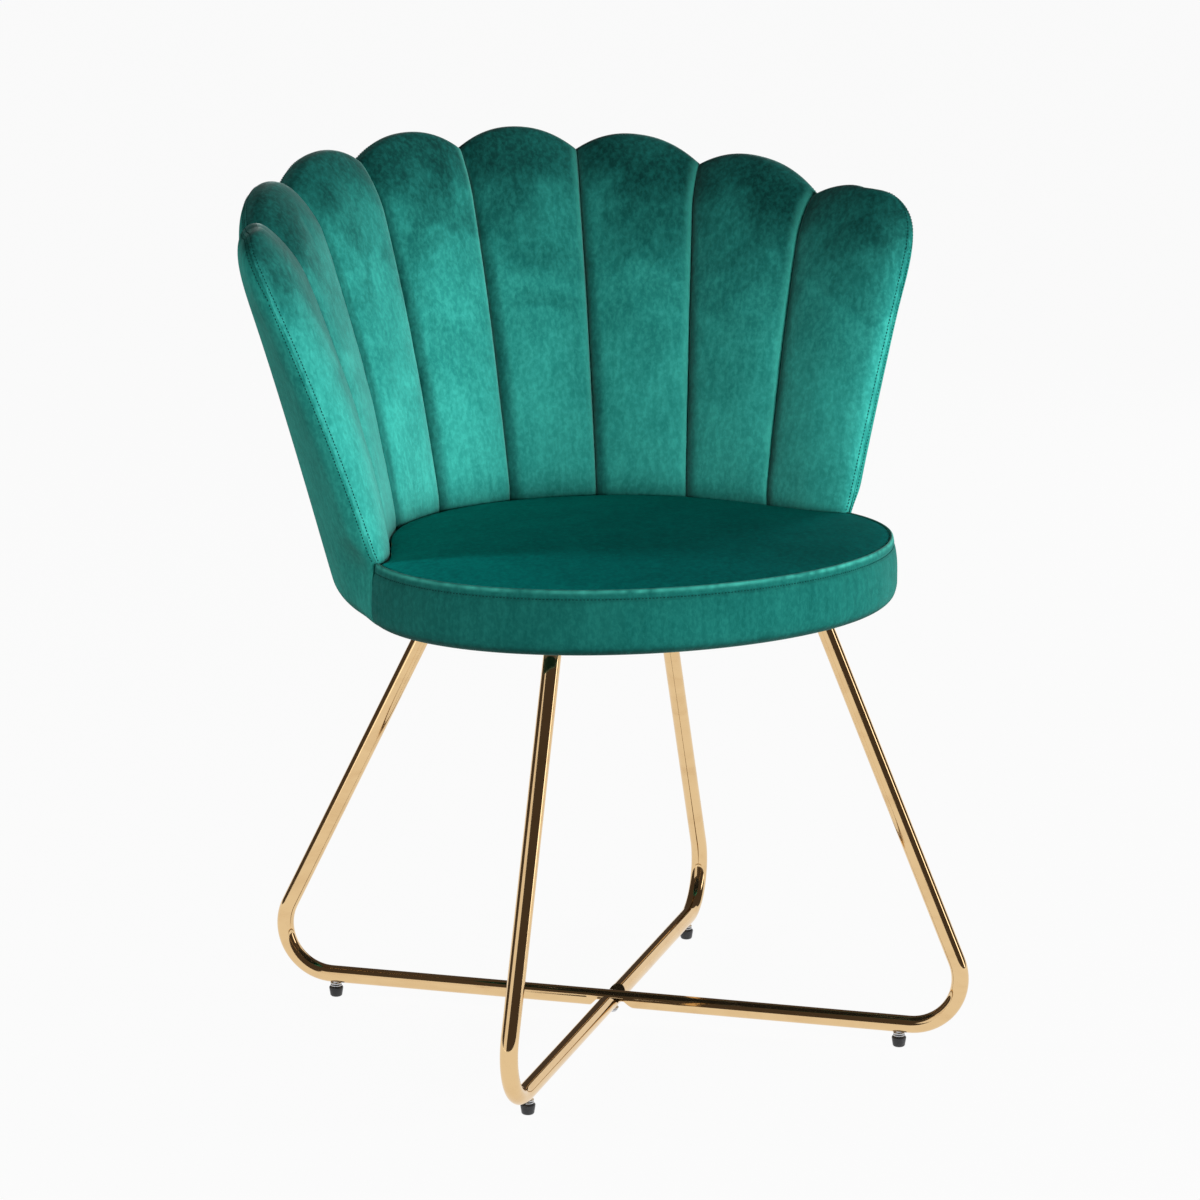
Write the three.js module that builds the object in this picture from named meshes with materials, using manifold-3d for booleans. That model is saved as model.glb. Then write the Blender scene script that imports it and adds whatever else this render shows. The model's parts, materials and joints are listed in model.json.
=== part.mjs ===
import * as THREE from 'three';
import * as BufferGeometryUtils from 'three/addons/utils/BufferGeometryUtils.js';
import Module from 'manifold-3d';

// Scallop back chair: a round seat in a curved back of eight upholstered petals, on two bent tube
// frames that cross on the floor. Millimetres, +Z up, the front faces -Y, +X is to the right of a
// viewer who stands in front. The pieces are laid out round the crossing of the two floor rails,
// and the finished chair is moved so that its box stands centred on the origin.

// Fits and cuts
const fitGap = 0.3; // left between two pieces that touch
const cutOverrun = 4; // how far a cutter runs past the faces it cuts

// Floor frames: one bent tube from the seat down, along the floor and up to the seat again
const tubeDiameter = 16;
const tubeWall = 1.2;
const tubeSides = 16;
const bendRadius = 47; // centre line
const bendSteps = 6;
const cornerReach = 356; // from the crossing to the corner where rail and leg centre lines meet
const crossingAngle = THREE.MathUtils.degToRad(90);
const saddleLength = 27; // flat pressed into each rail where the frames cross
const saddleShoulder = 9; // sloping end of the flat

const legTrimHeight = 60; // tall enough to trim the slanted ends of the tube

// Crossing bolt, from below through the lower rail into an insert inside the upper one
const crossBoltDiameter = 5;
const crossBoltHeadDiameter = 10;
const crossBoltHeadHeight = 3;
const crossBoltTip = 1; // bolt left standing out of the insert
const crossInsertBarrelDiameter = 7.2;
const crossInsertFlangeDiameter = 9.6;
const crossInsertFlangeThickness = 1;
const crossInsertHeight = 3.4; // above the pressed wall
const crossWasherDiameter = 12;
const crossWasherThickness = 1.2;
const boltSides = 10;
const socketRadius = 2; // hexagon socket of a bolt's head, drawn round
const socketDepthShare = 0.5; // of the head's height
const domeShare = 0.62; // flat middle of a domed head
const domeHeightShare = 0.67; // of the head's height

// Levelling glides
const padTopDiameter = 14;
const padFootDiameter = 11;
const padHeight = 10;
const padEdge = 1.5; // rounded edge
const padSides = 16;
const studDiameter = 5;
const studCollarDiameter = 11;
const studCollarThickness = 1.2;
const studLength = 15; // above its collar
const studSeat = 4; // depth of the stud's foot in the pad
const adjustingGap = 1; // between the stud's collar and the insert when screwed home
const insertFlangeDiameter = 11;
const insertFlangeThickness = 1.2;
const insertBarrelDiameter = 7.4;
const insertBarrelLength = 10;
const glideSetback = 80; // from the frame's corner, in along the rail

// Seat
const panelUnderside = 410;
const panelThickness = 15;
const clothThickness = 1.5; // hems and dust cover under the panel
const boxingHeight = 57; // from the panel's underside to the seam of the seat top
const seatSideInset = 27; // side of the seat in from the foot of the curved wall
const seatFrontShare = 0.781; // of the half width, from the seat's widest line to its front
const seatWidestForward = 22; // the widest line lies this far in front of the back's axis
const seatTopThickness = 3; // velvet and wadding over the foam
const seatCrown = 7; // how far the middle stands above the edge
const boxingThickness = 11;
const boxingBulge = 5;
const boxingHem = 24; // width turned in under the panel
const boxingRounding = 15; // foot of the band
const boxingFootShares = [0, 0.35, 0.65, 1];
const upperBandShare = 0.8; // height on the band, and what is left of the bulge there
const upperBulgeShare = 0.7;
const seamRoll = 1.5; // rounded edge of the seat top
const foamRingShares = [0.8, 0.45];
const coverRingShares = [0.97, ...foamRingShares];
const frontStations = 24;

// Mounting plates between the frames and the seat panel, with their bolts
const plateLength = 64;
const plateWidth = 36;
const plateThickness = 4;
const plateCorner = 6;
const frontPlateShare = 0.782; // reach from the crossing, as a share of the seat's half width
const rearPlateShare = 0.656;
const plateBoltSpacing = 44;
const legBoltDiameter = 6;
const legBoltHeadDiameter = 10.5;
const legBoltHeadHeight = 3.3;
const legBoltLength = 18;
const boltHoleClearance = 0.6; // on the diameter
const teeNutFlangeDiameter = 19;
const teeNutFlangeThickness = 1.5;
const teeNutBarrelDiameter = 8.6;
const teeNutBarrelLength = 9;

// Curved back: radii are taken round a vertical axis a little in front of the crossing
const backAxisForward = 16;
const crestRise = 348.5; // from the seat's seam to the tips of the middle petals
const crestFall = 71; // how far the line of tips would fall over a quarter turn
const scallopDepth = 20; // from a petal's tip down to the valley beside it
const scallopSharpness = 2.2; // power of the tip's curve
const petalShares = [0.226, 0.258, 0.258, 0.258]; // of the half back, from the wing to the centre
const wingFootAngle = THREE.MathUtils.degToRad(1);
const wingTopAngle = THREE.MathUtils.degToRad(7.2);
const wingCorner = 53; // drop of the rounded upper corner of a wing
const wingCornerPlace = 0.3; // where on the wing petal the corner starts
const wallFootRadius = 278; // outside, at the seat's seam
const wallFlare = 85; // more at the crest, if the wall ran on straight
const wingNarrowing = 16; // the wall draws in at the foot of the wings
const narrowingShare = 0.5; // of the half back
const wingSlimming = 16; // the padding of the wing petals is thinner at its front
const tipOutset = 47; // from the wall's foot out to the circle of the tips, at the back's centre
const tipSpread = 12; // further out at the wings
const tipShareLimits = [0.3, 0.9]; // of the thickness of the wall
const handleShare = 0.55; // length of a curve's handle
const innerLeanShare = 0.2;
const innerRollShares = [1, 0.72, 0.4, 0]; // points on the curves of the roll
const outerRollShare = 0.82;
const coverRollShares = [0, 0.25, 0.45];
const coverFootShares = [0, 0.3, 0.55, 0.8, 1];
const faceRiseShares = [0.22, 0.5, 0.78];
const wallRiseShares = [1 / 3, 2 / 3];
const outerRoll = 80; // height of the roll over the top, outside
const innerRoll = 46; // and inside
const shellThickness = 12;
const outerPadding = 10; // outer cover with its wadding
const wingPadding = 4; // the same at a wing's front edge
const footInset = 9; // the shell draws in towards the seat panel
const shellTopShare = 0.46; // of the outer roll, where the shell's edge lies under it
const edgeStepShare = 0.02; // of the run below that edge, where a wing petal is solid to the cover
const grooveInset = 64; // from the wall's outside in to the line where two petals meet, at the seat
const grooveFlare = 58;
const grooveFlareCurve = 38;
const petalDepth = 16; // from the sewn line to the crown of a petal
const crownSharpness = 2.5; // power of the crown's curve
const petalFootDepth = 8;
const petalDepthRise = 90; // height over which the petals reach their full depth
const petalTuck = 30; // depth to which the petals go down behind the seat
const wingNoseInside = 3; // cloth left beside the seam at the wing's front edge
const wingNoseOutside = 2.2; // rounding of the outer cover there
const wingNoseRise = 40; // height over which that rounding comes in above the seam
const shellEndPlace = 0.5; // the shell stops here on a wing petal
const shellEndStep = 0.02;
const petalPlaces = [-1, -0.9, -0.6, 0, 0.6, 0.9, 1];
const wingPlaces = [-1, -0.9, -0.6, 0, shellEndPlace, shellEndPlace + shellEndStep, 0.75, 0.9, 0.98, 1];
const shellBottomRise = 4; // from the panel's underside to the shell's edge
const outerHem = 20;
const underRounding = 24; // rounded foot of the outer cover
const seamShare = 0.6; // where on the outer roll the two covers are sewn together

// Screws that hold the shell to the panel's edge
const shellScrewAngles = [16, 53, 90, 127, 164].map(THREE.MathUtils.degToRad);
const shellScrewDiameter = 4;
const shellScrewHeadDiameter = 8;
const shellScrewHeadHeight = 3;
const shellScrewLength = 34;
const shellScrewRise = 9; // above the panel's underside
const shellScrewSink = 2.4; // head below the shell's face

// Sizes that follow
const seatHalfWidth = wallFootRadius - seatSideInset;
const seatFrontReach = seatFrontShare * seatHalfWidth;
const grooveFootRadius = wallFootRadius - grooveInset;
const tipRadius = wallFootRadius + tipOutset;
const tubeRadius = tubeDiameter / 2;
const railHeight = padHeight + studCollarThickness + fitGap + adjustingGap + insertFlangeThickness
  + fitGap + tubeRadius;
const hemTop = panelUnderside - fitGap;
const underside = hemTop - clothThickness;
const panelTop = panelUnderside + panelThickness;
const foamBottom = panelTop + fitGap;
const seatSeam = panelUnderside + boxingHeight;
const seatTop = seatSeam + seatTopThickness + seatCrown;
const petalBottom = seatSeam - petalTuck;
const plateTop = underside - fitGap;
const plateBottom = plateTop - plateThickness;
const backAxisY = -backAxisForward;
const frontPlateReach = frontPlateShare * seatHalfWidth;
const rearPlateReach = rearPlateShare * seatHalfWidth;
const leanTo = (plateReach) => Math.atan((cornerReach - plateReach) / (plateBottom - railHeight));
const frontLean = leanTo(frontPlateReach);
const rearLean = leanTo(rearPlateReach);
const halfTurn = Math.PI;
const quarterTurn = Math.PI / 2;

const { clamp, lerp } = THREE.MathUtils;
const wasm = await Module();
wasm.setup();

const velvet = { color: 0x0f7a6c, roughness: 0.85, metalness: 0 };
const seatVelvet = { color: 0x0a5f57, roughness: 0.85, metalness: 0 };
const brass = { color: 0xcfa978, roughness: 0.12, metalness: 1 };
const plywood = { color: 0xc79a63, roughness: 0.7, metalness: 0 };
const foam = { color: 0xe8dfc0, roughness: 0.95, metalness: 0 };
const blackCloth = { color: 0x1b1b1c, roughness: 0.95, metalness: 0 };
const blackPlastic = { color: 0x141518, roughness: 0.4, metalness: 0 };
const zincSteel = { color: 0xb9bcc0, roughness: 0.35, metalness: 1 };
const blackSteel = { color: 0x2a2a2c, roughness: 0.5, metalness: 1 };

const chair = new THREE.Group();

function addPart(name, geometry, finish, parent = chair) {
  const mesh = new THREE.Mesh(geometry, new THREE.MeshStandardMaterial(finish));
  mesh.name = name;
  parent.add(mesh);
  return mesh;
}

// Solids and cuts

function toSolid(geometry) {
  const bare = geometry.clone();
  bare.deleteAttribute('normal');
  bare.deleteAttribute('uv');
  const merged = BufferGeometryUtils.mergeVertices(bare);
  return new wasm.Manifold(new wasm.Mesh({
    numProp: 3,
    vertProperties: new Float32Array(merged.attributes.position.array),
    triVerts: new Uint32Array(merged.index.array),
  }));
}

function toGeometry(solid) {
  const mesh = solid.getMesh();
  const geometry = new THREE.BufferGeometry();
  geometry.setAttribute('position', new THREE.BufferAttribute(new Float32Array(mesh.vertProperties), 3));
  geometry.setIndex(new THREE.BufferAttribute(new Uint32Array(mesh.triVerts), 1));
  return geometry;
}

function cutAway(geometry, cutters) {
  return toGeometry(cutters.reduce((solid, cutter) => solid.subtract(toSolid(cutter)), toSolid(geometry)));
}

function facesOutwards(positions, triangles) {
  const [a, b, c] = [new THREE.Vector3(), new THREE.Vector3(), new THREE.Vector3()];
  let volume = 0;
  for (let i = 0; i < triangles.length; i += 3) {
    a.copy(positions[triangles[i]]);
    b.copy(positions[triangles[i + 1]]);
    c.copy(positions[triangles[i + 2]]);
    volume += a.dot(b.cross(c));
  }
  return volume > 0;
}

function closedGeometry(positions, triangles) {
  if (!facesOutwards(positions, triangles)) {
    triangles.reverse();
  }
  const geometry = new THREE.BufferGeometry().setFromPoints(positions);
  geometry.setIndex(triangles);
  return geometry;
}

// Upright round piece turned from a profile of [radius, height] corners, first and last on the axis
function turned(profile, sides) {
  return new THREE.LatheGeometry(profile.map(([r, z]) => new THREE.Vector2(r, z)), sides)
    .rotateX(quarterTurn);
}

// Upright round piece with a bore, from a profile of [radius, height] corners that closes on itself
function turnedRing(profile, sides) {
  return turned([...profile, profile[0]], sides);
}

function uprightCylinder(diameter, bottom, top, sides = boltSides) {
  return turned([[0, bottom], [diameter / 2, bottom], [diameter / 2, top], [0, top]], sides);
}

// Walls lofted from one section to the next. A section is a closed outline of (radius, height)
// points, and place() says where such a point lies at the section's station. Each four-sided
// facet is split from its upper corner nearer to the middle of the run, on every layer of a wall
// alike and the same on both sides of the chair, so that the layers keep their gaps.
function loftSections(sections, place, isPastMiddle) {
  const count = sections[0].outline.length;
  const positions = sections
    .flatMap(({ outline, station }) => outline.map((p) => place(p.x, p.y, station)));
  const triangles = [];
  for (let s = 0; s + 1 < sections.length; s++) {
    const { outline, station } = sections[s];
    for (let i = 0; i < count; i++) {
      const next = (i + 1) % count;
      const [a, b] = [s * count + i, s * count + next];
      const [c, d] = [a + count, b + count];
      const rises = outline[next].y > outline[i].y;
      triangles.push(...(rises === isPastMiddle(station) ? [a, b, c, b, d, c] : [a, b, d, a, d, c]));
    }
  }
  const lastStart = (sections.length - 1) * count;
  const firstCap = THREE.ShapeUtils.triangulateShape(sections[0].outline, []);
  const lastCap = THREE.ShapeUtils.triangulateShape(sections[sections.length - 1].outline, []);
  const firstIsForward = THREE.ShapeUtils.area(sections[0].outline) > 0;
  for (const [a, b, c] of firstCap) {
    triangles.push(...(firstIsForward ? [a, c, b] : [a, b, c]));
  }
  for (const [a, b, c] of lastCap) {
    const [p, q, r] = [a + lastStart, b + lastStart, c + lastStart];
    triangles.push(...(firstIsForward ? [p, q, r] : [p, r, q]));
  }
  return closedGeometry(positions, triangles);
}

// Round body stacked from rings of the same count of points, closed by a fan at each end
function stackRings(rings, bottomCentre, topCentre) {
  const count = rings[0].length;
  const positions = [bottomCentre, ...rings.flat(), topCentre];
  const triangles = [];
  for (let i = 0; i < count; i++) {
    const next = (i + 1) % count;
    triangles.push(0, 1 + next, 1 + i);
    for (let k = 0; k + 1 < rings.length; k++) {
      const [a, b] = [1 + k * count + i, 1 + k * count + next];
      triangles.push(a, b, a + count, b, b + count, a + count);
    }
    const lastStart = 1 + (rings.length - 1) * count;
    triangles.push(lastStart + i, lastStart + next, positions.length - 1);
  }
  return closedGeometry(positions, triangles);
}

const point = (r, z) => new THREE.Vector2(r, z);

// Curved back: shape functions
// A station runs round the back: 0 at the right wing's edge, 1 at the centre, 2 at the left wing's.

const petalCount = 2 * petalShares.length;
const halfBounds = petalShares
  .reduce((bounds, share) => [...bounds, bounds[bounds.length - 1] + share], [0]);

const fromWing = (station) => Math.min(station, 2 - station);
const isLeftHalf = (station) => station >= 1;

function sweepAngle(station, z) {
  const rise = clamp((z - seatSeam) / (crestAt(0) - seatSeam), 0, 1);
  const wingAngle = lerp(wingFootAngle, wingTopAngle, rise);
  const angle = lerp(wingAngle, quarterTurn, fromWing(station));
  return station > 1 ? halfTurn - angle : angle;
}

function placeOnBack(radius, z, station) {
  const angle = sweepAngle(station, z);
  return new THREE.Vector3(radius * Math.cos(angle), backAxisY + radius * Math.sin(angle), z);
}

// Height of the smooth line that the tips of the petals touch
function crestAt(station) {
  return seatSeam + crestRise - crestFall * (1 - fromWing(station)) ** 2;
}

// A place also says how far across its petal it lies: -1 at the edge nearer to the centre of the
// back, 0 in the middle, 1 at the other edge. Rounding grows from 0 to 1 along a quarter circle.
const rounding = (share) => 1 - Math.sqrt(1 - clamp(share, 0, 1) ** 2);
const noseRounding = ({ across, inWing }) => (inWing ? rounding(across) : 0);

function topAt(station, { across, inWing }) {
  if (inWing && across > 0) {
    const corner = (across - wingCornerPlace) / (1 - wingCornerPlace);
    return crestAt(petalShares[0] / 2) - wingCorner * rounding(corner);
  }
  return crestAt(station) - scallopDepth * Math.abs(across) ** scallopSharpness;
}

function riseShare(station, z) {
  return (z - seatSeam) / (crestAt(station) - seatSeam);
}

// Outside of the wall before its roll and its rounded foot
function wallRadius(station, z) {
  const rise = riseShare(station, z);
  const nearWing = clamp(1 - fromWing(station) / narrowingShare, 0, 1) ** 2;
  return wallFootRadius + wallFlare * rise - wingNarrowing * nearWing * (1 - Math.max(rise, 0) ** 2);
}

const paddingAt = (station) => (
  lerp(wingPadding, outerPadding, clamp(2 * fromWing(station) / petalShares[0], 0, 1))
);

function shellOutside(station, z) {
  const inset = footInset * clamp((seatTop - z) / (seatTop - panelUnderside), 0, 1);
  return wallRadius(station, z) - paddingAt(station) - inset;
}

function shellInside(station, z) {
  return shellOutside(station, z) - shellThickness;
}

// Seen side of a petal: a crowned pillow between the sewn lines, rounded off at a wing's edge
function petalFace(station, z, place) {
  const rise = riseShare(station, Math.max(z, seatTop));
  const depth = lerp(petalFootDepth, petalDepth, clamp((z - seatTop) / petalDepthRise, 0, 1));
  const slimming = wingSlimming * clamp(1 - fromWing(station) / petalShares[0], 0, 1);
  const sewnLine = grooveLine(rise) + depth / 2 + slimming;
  const crown = sewnLine - depth;
  if (place.inWing && place.across > 0) {
    return lerp(crown, shellOutside(station, z) - wingNoseInside, noseRounding(place));
  }
  return sewnLine - depth * Math.sqrt(1 - Math.abs(place.across) ** crownSharpness);
}

const grooveLine = (rise) => grooveFootRadius + grooveFlare * rise + grooveFlareCurve * rise ** 2;

// The tips lie on one circle in plan, which fixes their place across the thickness of the wall
function tipAcrossShare(station) {
  const top = crestAt(station);
  const outside = wallRadius(station, top - outerRoll);
  const inside = grooveLine(riseShare(station, top - innerRoll));
  const radius = tipRadius + tipSpread * (1 - fromWing(station));
  return clamp((radius - inside) / (outside - inside), ...tipShareLimits);
}

// Outside of the outer cover, rounded off at a wing's front edge above the seat
function outerFace(station, z, { across, inWing }) {
  const nose = inWing ? rounding((across - shellEndPlace) / (1 - shellEndPlace)) : 0;
  const above = clamp((z - seatSeam) / wingNoseRise, 0, 1);
  return wallRadius(station, z) - wingNoseOutside * above * nose;
}

// Roll over the top, as curves of (radius, height): from the outer wall to the tip, and on inwards.
// Towards a wing's edge the roll thins out to a blade that follows the slant of the wall.
function rollCurves(place) {
  const { station } = place;
  const top = topAt(station, place);
  const nose = noseRounding(place);
  const outerStart = point(outerFace(station, top - outerRoll, place), top - outerRoll);
  const innerEnd = point(petalFace(station, top - innerRoll, place), top - innerRoll);
  const plainTip = lerp(innerEnd.x, outerStart.x, tipAcrossShare(station));
  const tip = point(lerp(plainTip, shellOutside(station, top), nose), top);
  const slant = (wallRadius(station, top) - wallRadius(station, top - outerRoll)) / outerRoll;
  const tipHandle = (end) => point(lerp(tip.x, end.x + nose * slant * (top - end.y), handleShare), top);
  const outerHandle = outerRoll * handleShare;
  const outer = new THREE.CubicBezierCurve(
    outerStart,
    point(outerStart.x + slant * outerHandle, outerStart.y + outerHandle),
    tipHandle(outerStart),
    tip,
  );
  const inner = new THREE.CubicBezierCurve(
    tip,
    tipHandle(innerEnd),
    point(lerp(innerEnd.x, tip.x, innerLeanShare), innerEnd.y + innerRoll * handleShare),
    innerEnd,
  );
  return { outer, inner, top };
}

// Stations of one petal of the half back, from its edge nearer to the wing inwards
function petalStations(k) {
  const places = k === 0 ? wingPlaces : petalPlaces;
  const [start, end] = [halfBounds[k], halfBounds[k + 1]];
  return places.map((across) => ({
    station: lerp(end, start, (1 + across) / 2),
    across,
    inWing: k === 0,
  })).reverse();
}

const mirrorStation = (place) => ({ ...place, station: 2 - place.station });

// Stations of the petal with this number, counted from the right wing
function stationsOfPetal(number) {
  const isLeft = number >= petalShares.length;
  const k = isLeft ? petalCount - 1 - number : number;
  return isLeft ? petalStations(k).map(mirrorStation).reverse() : petalStations(k);
}

const backStations = Array.from({ length: petalCount }, (_, number) => stationsOfPetal(number))
  .reduce((all, stations) => [...all, ...stations.slice(1)], [stationsOfPetal(0)[0]]);

const hasShell = ({ across, inWing }) => !inWing || across <= shellEndPlace;

// Outside of the shell from the seat's top up to its edge under the roll, where every layer of the
// wall has its points
function shellLine(place) {
  const { station } = place;
  const underRoll = rollCurves(place).outer.getPoint(shellTopShare);
  const wall = [0, ...wallRiseShares].map((share) => lerp(seatTop, underRoll.y, share))
    .map((z) => point(shellOutside(station, z), z));
  return [...wall, point(underRoll.x - paddingAt(station), underRoll.y)];
}

const shifted = (points, dx) => points.map(({ x, y }) => point(x + dx, y));

function bezierPoints(curve, shares) {
  return shares.map((share) => curve.getPoint(share));
}

// One channel of the inner back: padding and cover from the seat panel up and over the shell
function petalSection(place) {
  const { station } = place;
  const { outer, inner, top } = rollCurves(place);
  const face = [petalBottom, seatTop, ...wallFaceHeights(top)]
    .map((z) => point(petalFace(station, z, place), z));
  const roll = [
    ...bezierPoints(inner, innerRollShares),
    ...bezierPoints(outer, [outerRollShare, seamShare]),
  ];
  const [edge, ...wall] = shellLine(place).reverse();
  const overEdge = point(edge.x, edge.y + fitGap);
  const inwards = -shellThickness - fitGap;
  const back = hasShell(place)
    ? [
      ...shifted([overEdge], inwards),
      ...shifted(wall, inwards),
      point(shellInside(station, petalBottom) - fitGap, petalBottom),
    ]
    : [
      edge.clone().lerp(wall[0], edgeStepShare),
      ...wall,
      point(shellOutside(station, petalBottom), petalBottom),
    ];
  return { station: sewnStation(place), outline: [...face, ...roll, overEdge, ...back] };
}

function wallFaceHeights(top) {
  const end = top - innerRoll;
  return faceRiseShares.map((share) => lerp(seatTop, end, share));
}

// Two petals are sewn together along a line, and this keeps half a gap to it on each side
function sewnStation({ station, across, inWing }) {
  const isWingEdge = inWing && across === 1;
  if (Math.abs(across) < 1 || isWingEdge) {
    return station;
  }
  const towardsMiddle = Math.sign(across) * (station > 1 ? -1 : 1);
  return station + towardsMiddle * (fitGap / 2) / (grooveFootRadius * quarterTurn);
}

for (let number = 0; number < petalCount; number++) {
  const sections = stationsOfPetal(number).map(petalSection);
  addPart(`back_channel_${number + 1}`, loftSections(sections, placeOnBack, isLeftHalf), velvet);
}

// Bent plywood shell between the channels and the outer cover
const shellBottom = panelUnderside + shellBottomRise;

function shellSection(place) {
  const { station } = place;
  const outside = [point(shellOutside(station, shellBottom), shellBottom), ...shellLine(place)];
  return { station, outline: [...shifted(outside, -shellThickness), ...outside.reverse()] };
}

function shellScrewAxis(angle) {
  const fromRight = Math.min(angle, halfTurn - angle);
  const station = (fromRight - wingFootAngle) / (quarterTurn - wingFootAngle);
  const z = panelUnderside + shellScrewRise;
  return { angle, outside: shellOutside(station, z), z };
}

// Turns an upright piece so that its +Z points inwards at an angle round the back
function aimInwards(geometry, { angle, outside, z }) {
  return geometry.rotateY(-quarterTurn).rotateZ(angle)
    .translate(outside * Math.cos(angle), backAxisY + outside * Math.sin(angle), z);
}

// Countersunk screw from its head's face at start, with a clearance all round when it cuts a hole
function shellScrew(start, clearance) {
  const head = shellScrewHeadDiameter / 2 + clearance;
  const shank = shellScrewDiameter / 2 + clearance;
  return turned([
    [0, start],
    [head, start],
    [head, shellScrewSink + clearance],
    [shank, shellScrewSink + shellScrewHeadHeight + clearance],
    [shank, shellScrewLength + clearance],
    [0, shellScrewLength + clearance],
  ], boltSides);
}

const shellScrewCutters = () => shellScrewAngles
  .map((angle) => aimInwards(shellScrew(-cutOverrun, fitGap), shellScrewAxis(angle)));

// The shell's edges keep clear of the step in the wing petals
function clearOfStep(place) {
  if (!place.inWing || place.across !== shellEndPlace) {
    return place;
  }
  const back = (petalShares[0] / 2) * (shellEndStep / 2);
  return {
    ...place,
    station: place.station + (place.station > 1 ? -back : back),
    across: place.across - shellEndStep / 2,
  };
}

const shellSections = backStations.filter(hasShell).map(clearOfStep).map(shellSection);
const wholeShell = loftSections(shellSections, placeOnBack, isLeftHalf);
addPart('back_shell', cutAway(wholeShell, shellScrewCutters()), plywood);

shellScrewAngles.forEach((angle, i) => {
  const screw = aimInwards(shellScrew(shellScrewSink, 0), shellScrewAxis(angle));
  addPart(`shell_screw_${i + 1}`, screw, blackSteel);
});

// Outer cover: one skin round the back, rolled over the top and turned in under the seat
function outerSection(place) {
  const { station } = place;
  const { outer, top } = rollCurves(place);
  const footStart = underside + underRounding;
  const footRadius = outerFace(station, footStart, place);
  const slope = (footRadius - outerFace(station, underside, place)) / underRounding;
  const handle = underRounding * handleShare;
  const foot = new THREE.CubicBezierCurve(
    point(footRadius - underRounding, underside),
    point(footRadius - underRounding + handle, underside),
    point(footRadius - slope * handle, footStart - handle),
    point(footRadius, footStart),
  );
  const hemInside = hemRadius(station);
  const outside = [
    point(hemInside, underside),
    ...bezierPoints(foot, coverFootShares),
    ...[seatSeam, ...wallRiseShares.map((share) => lerp(seatSeam, top - outerRoll, share))]
      .map((z) => point(outerFace(station, z, place), z)),
    ...bezierPoints(outer, coverRollShares),
    outer.getPoint(seamShare).add(point(fitGap, 0)),
  ];
  const belowShell = shellBottom - fitGap;
  const inside = [
    ...shifted(shellLine(place).reverse(), fitGap),
    point(shellOutside(station, belowShell) + fitGap, belowShell),
    point(shellInside(station, shellBottom), hemTop),
    point(hemInside, hemTop),
  ];
  return { station, outline: [...outside, ...inside] };
}

function hemRadius(station) {
  return shellInside(station, shellBottom) - outerHem;
}

addPart('back_outer_cover', loftSections(backStations.map(outerSection), placeOnBack, isLeftHalf), velvet);

// Seat outlines: radius round the back's axis at an angle, with the front an ellipse

function frontRadius(angle, inset) {
  const [a, b] = [seatHalfWidth - inset, seatFrontReach - inset];
  const [dx, dy] = [Math.cos(angle), Math.sin(angle)];
  const qa = (dx / a) ** 2 + (dy / b) ** 2;
  const qb = 2 * dy * seatWidestForward / b ** 2;
  const qc = (seatWidestForward / b) ** 2 - 1;
  return (-qb + Math.sqrt(qb ** 2 - 4 * qa * qc)) / (2 * qa);
}

// Angles round the seat: the stations of the back, then the front from the left wing to the right
const frontAngles = Array.from({ length: frontStations - 1 }, (_, i) => {
  const share = (i + 1) / frontStations;
  return lerp(halfTurn - wingFootAngle, 2 * halfTurn + wingFootAngle, share);
});

function seatOutline(rearRadius, frontInset, angleGap) {
  const rear = backStations.map((place) => {
    const turn = Math.sign(1 - place.station) * angleGap;
    return { angle: sweepAngle(place.station, seatSeam) - turn, radius: rearRadius(place) };
  });
  const front = frontAngles.map((angle) => ({ angle, radius: frontRadius(angle, frontInset) }));
  return [...rear, ...front];
}

function ringFrom(outline, share, z) {
  return outline.map(({ angle, radius }) => new THREE.Vector3(
    share * radius * Math.cos(angle),
    backAxisY + share * radius * Math.sin(angle),
    z,
  ));
}

const axisPoint = (z) => new THREE.Vector3(0, backAxisY, z);
const crownAt = (share) => seatCrown * (1 - share ** 2);
const wingClearAngle = fitGap / seatHalfWidth;

// The seat fits against the crowns of the petals, and its foam lower down against the wall too
function againstPetals(place) {
  const crownPlace = place.inWing && place.across > 0 ? place : { ...place, across: 0 };
  return Math.min(...[seatSeam, seatTop].map((z) => petalFace(place.station, z, crownPlace))) - fitGap;
}

function againstWall(place) {
  const wall = hasShell(place) ? shellInside : shellOutside;
  const foot = Math.min(petalFace(place.station, petalBottom, place), wall(place.station, foamBottom));
  return Math.min(foot - fitGap, againstPetals(place));
}

// Beside the wings the line of the front still holds
const withinFront = (rearRadius, inset) => (place) => (place.inWing
  ? Math.min(rearRadius(place), frontRadius(sweepAngle(place.station, seatSeam), inset))
  : rearRadius(place));

const coreInset = boxingThickness + fitGap;
const foamOutline = seatOutline(withinFront(againstWall, coreInset), coreInset, wingClearAngle);
const topOutline = seatOutline(withinFront(againstPetals, 0), 0, wingClearAngle);

const foamTop = seatSeam - fitGap;
addPart('seat_foam', stackRings(
  [
    ringFrom(foamOutline, 1, foamBottom),
    ringFrom(foamOutline, 1, foamTop),
    ...foamRingShares.map((share) => ringFrom(foamOutline, share, foamTop + crownAt(share))),
  ],
  axisPoint(foamBottom),
  axisPoint(foamTop + seatCrown),
), foam);

addPart('seat_cover', stackRings(
  [
    ...[...coverRingShares].reverse()
      .map((share) => ringFrom(topOutline, share, seatSeam + crownAt(share))),
    ringFrom(topOutline, 1, seatSeam + seamRoll),
    ...coverRingShares
      .map((share) => ringFrom(topOutline, share, seatSeam + seatTopThickness + crownAt(share))),
  ],
  axisPoint(seatSeam + seatCrown),
  axisPoint(seatTop),
), seatVelvet);

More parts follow.
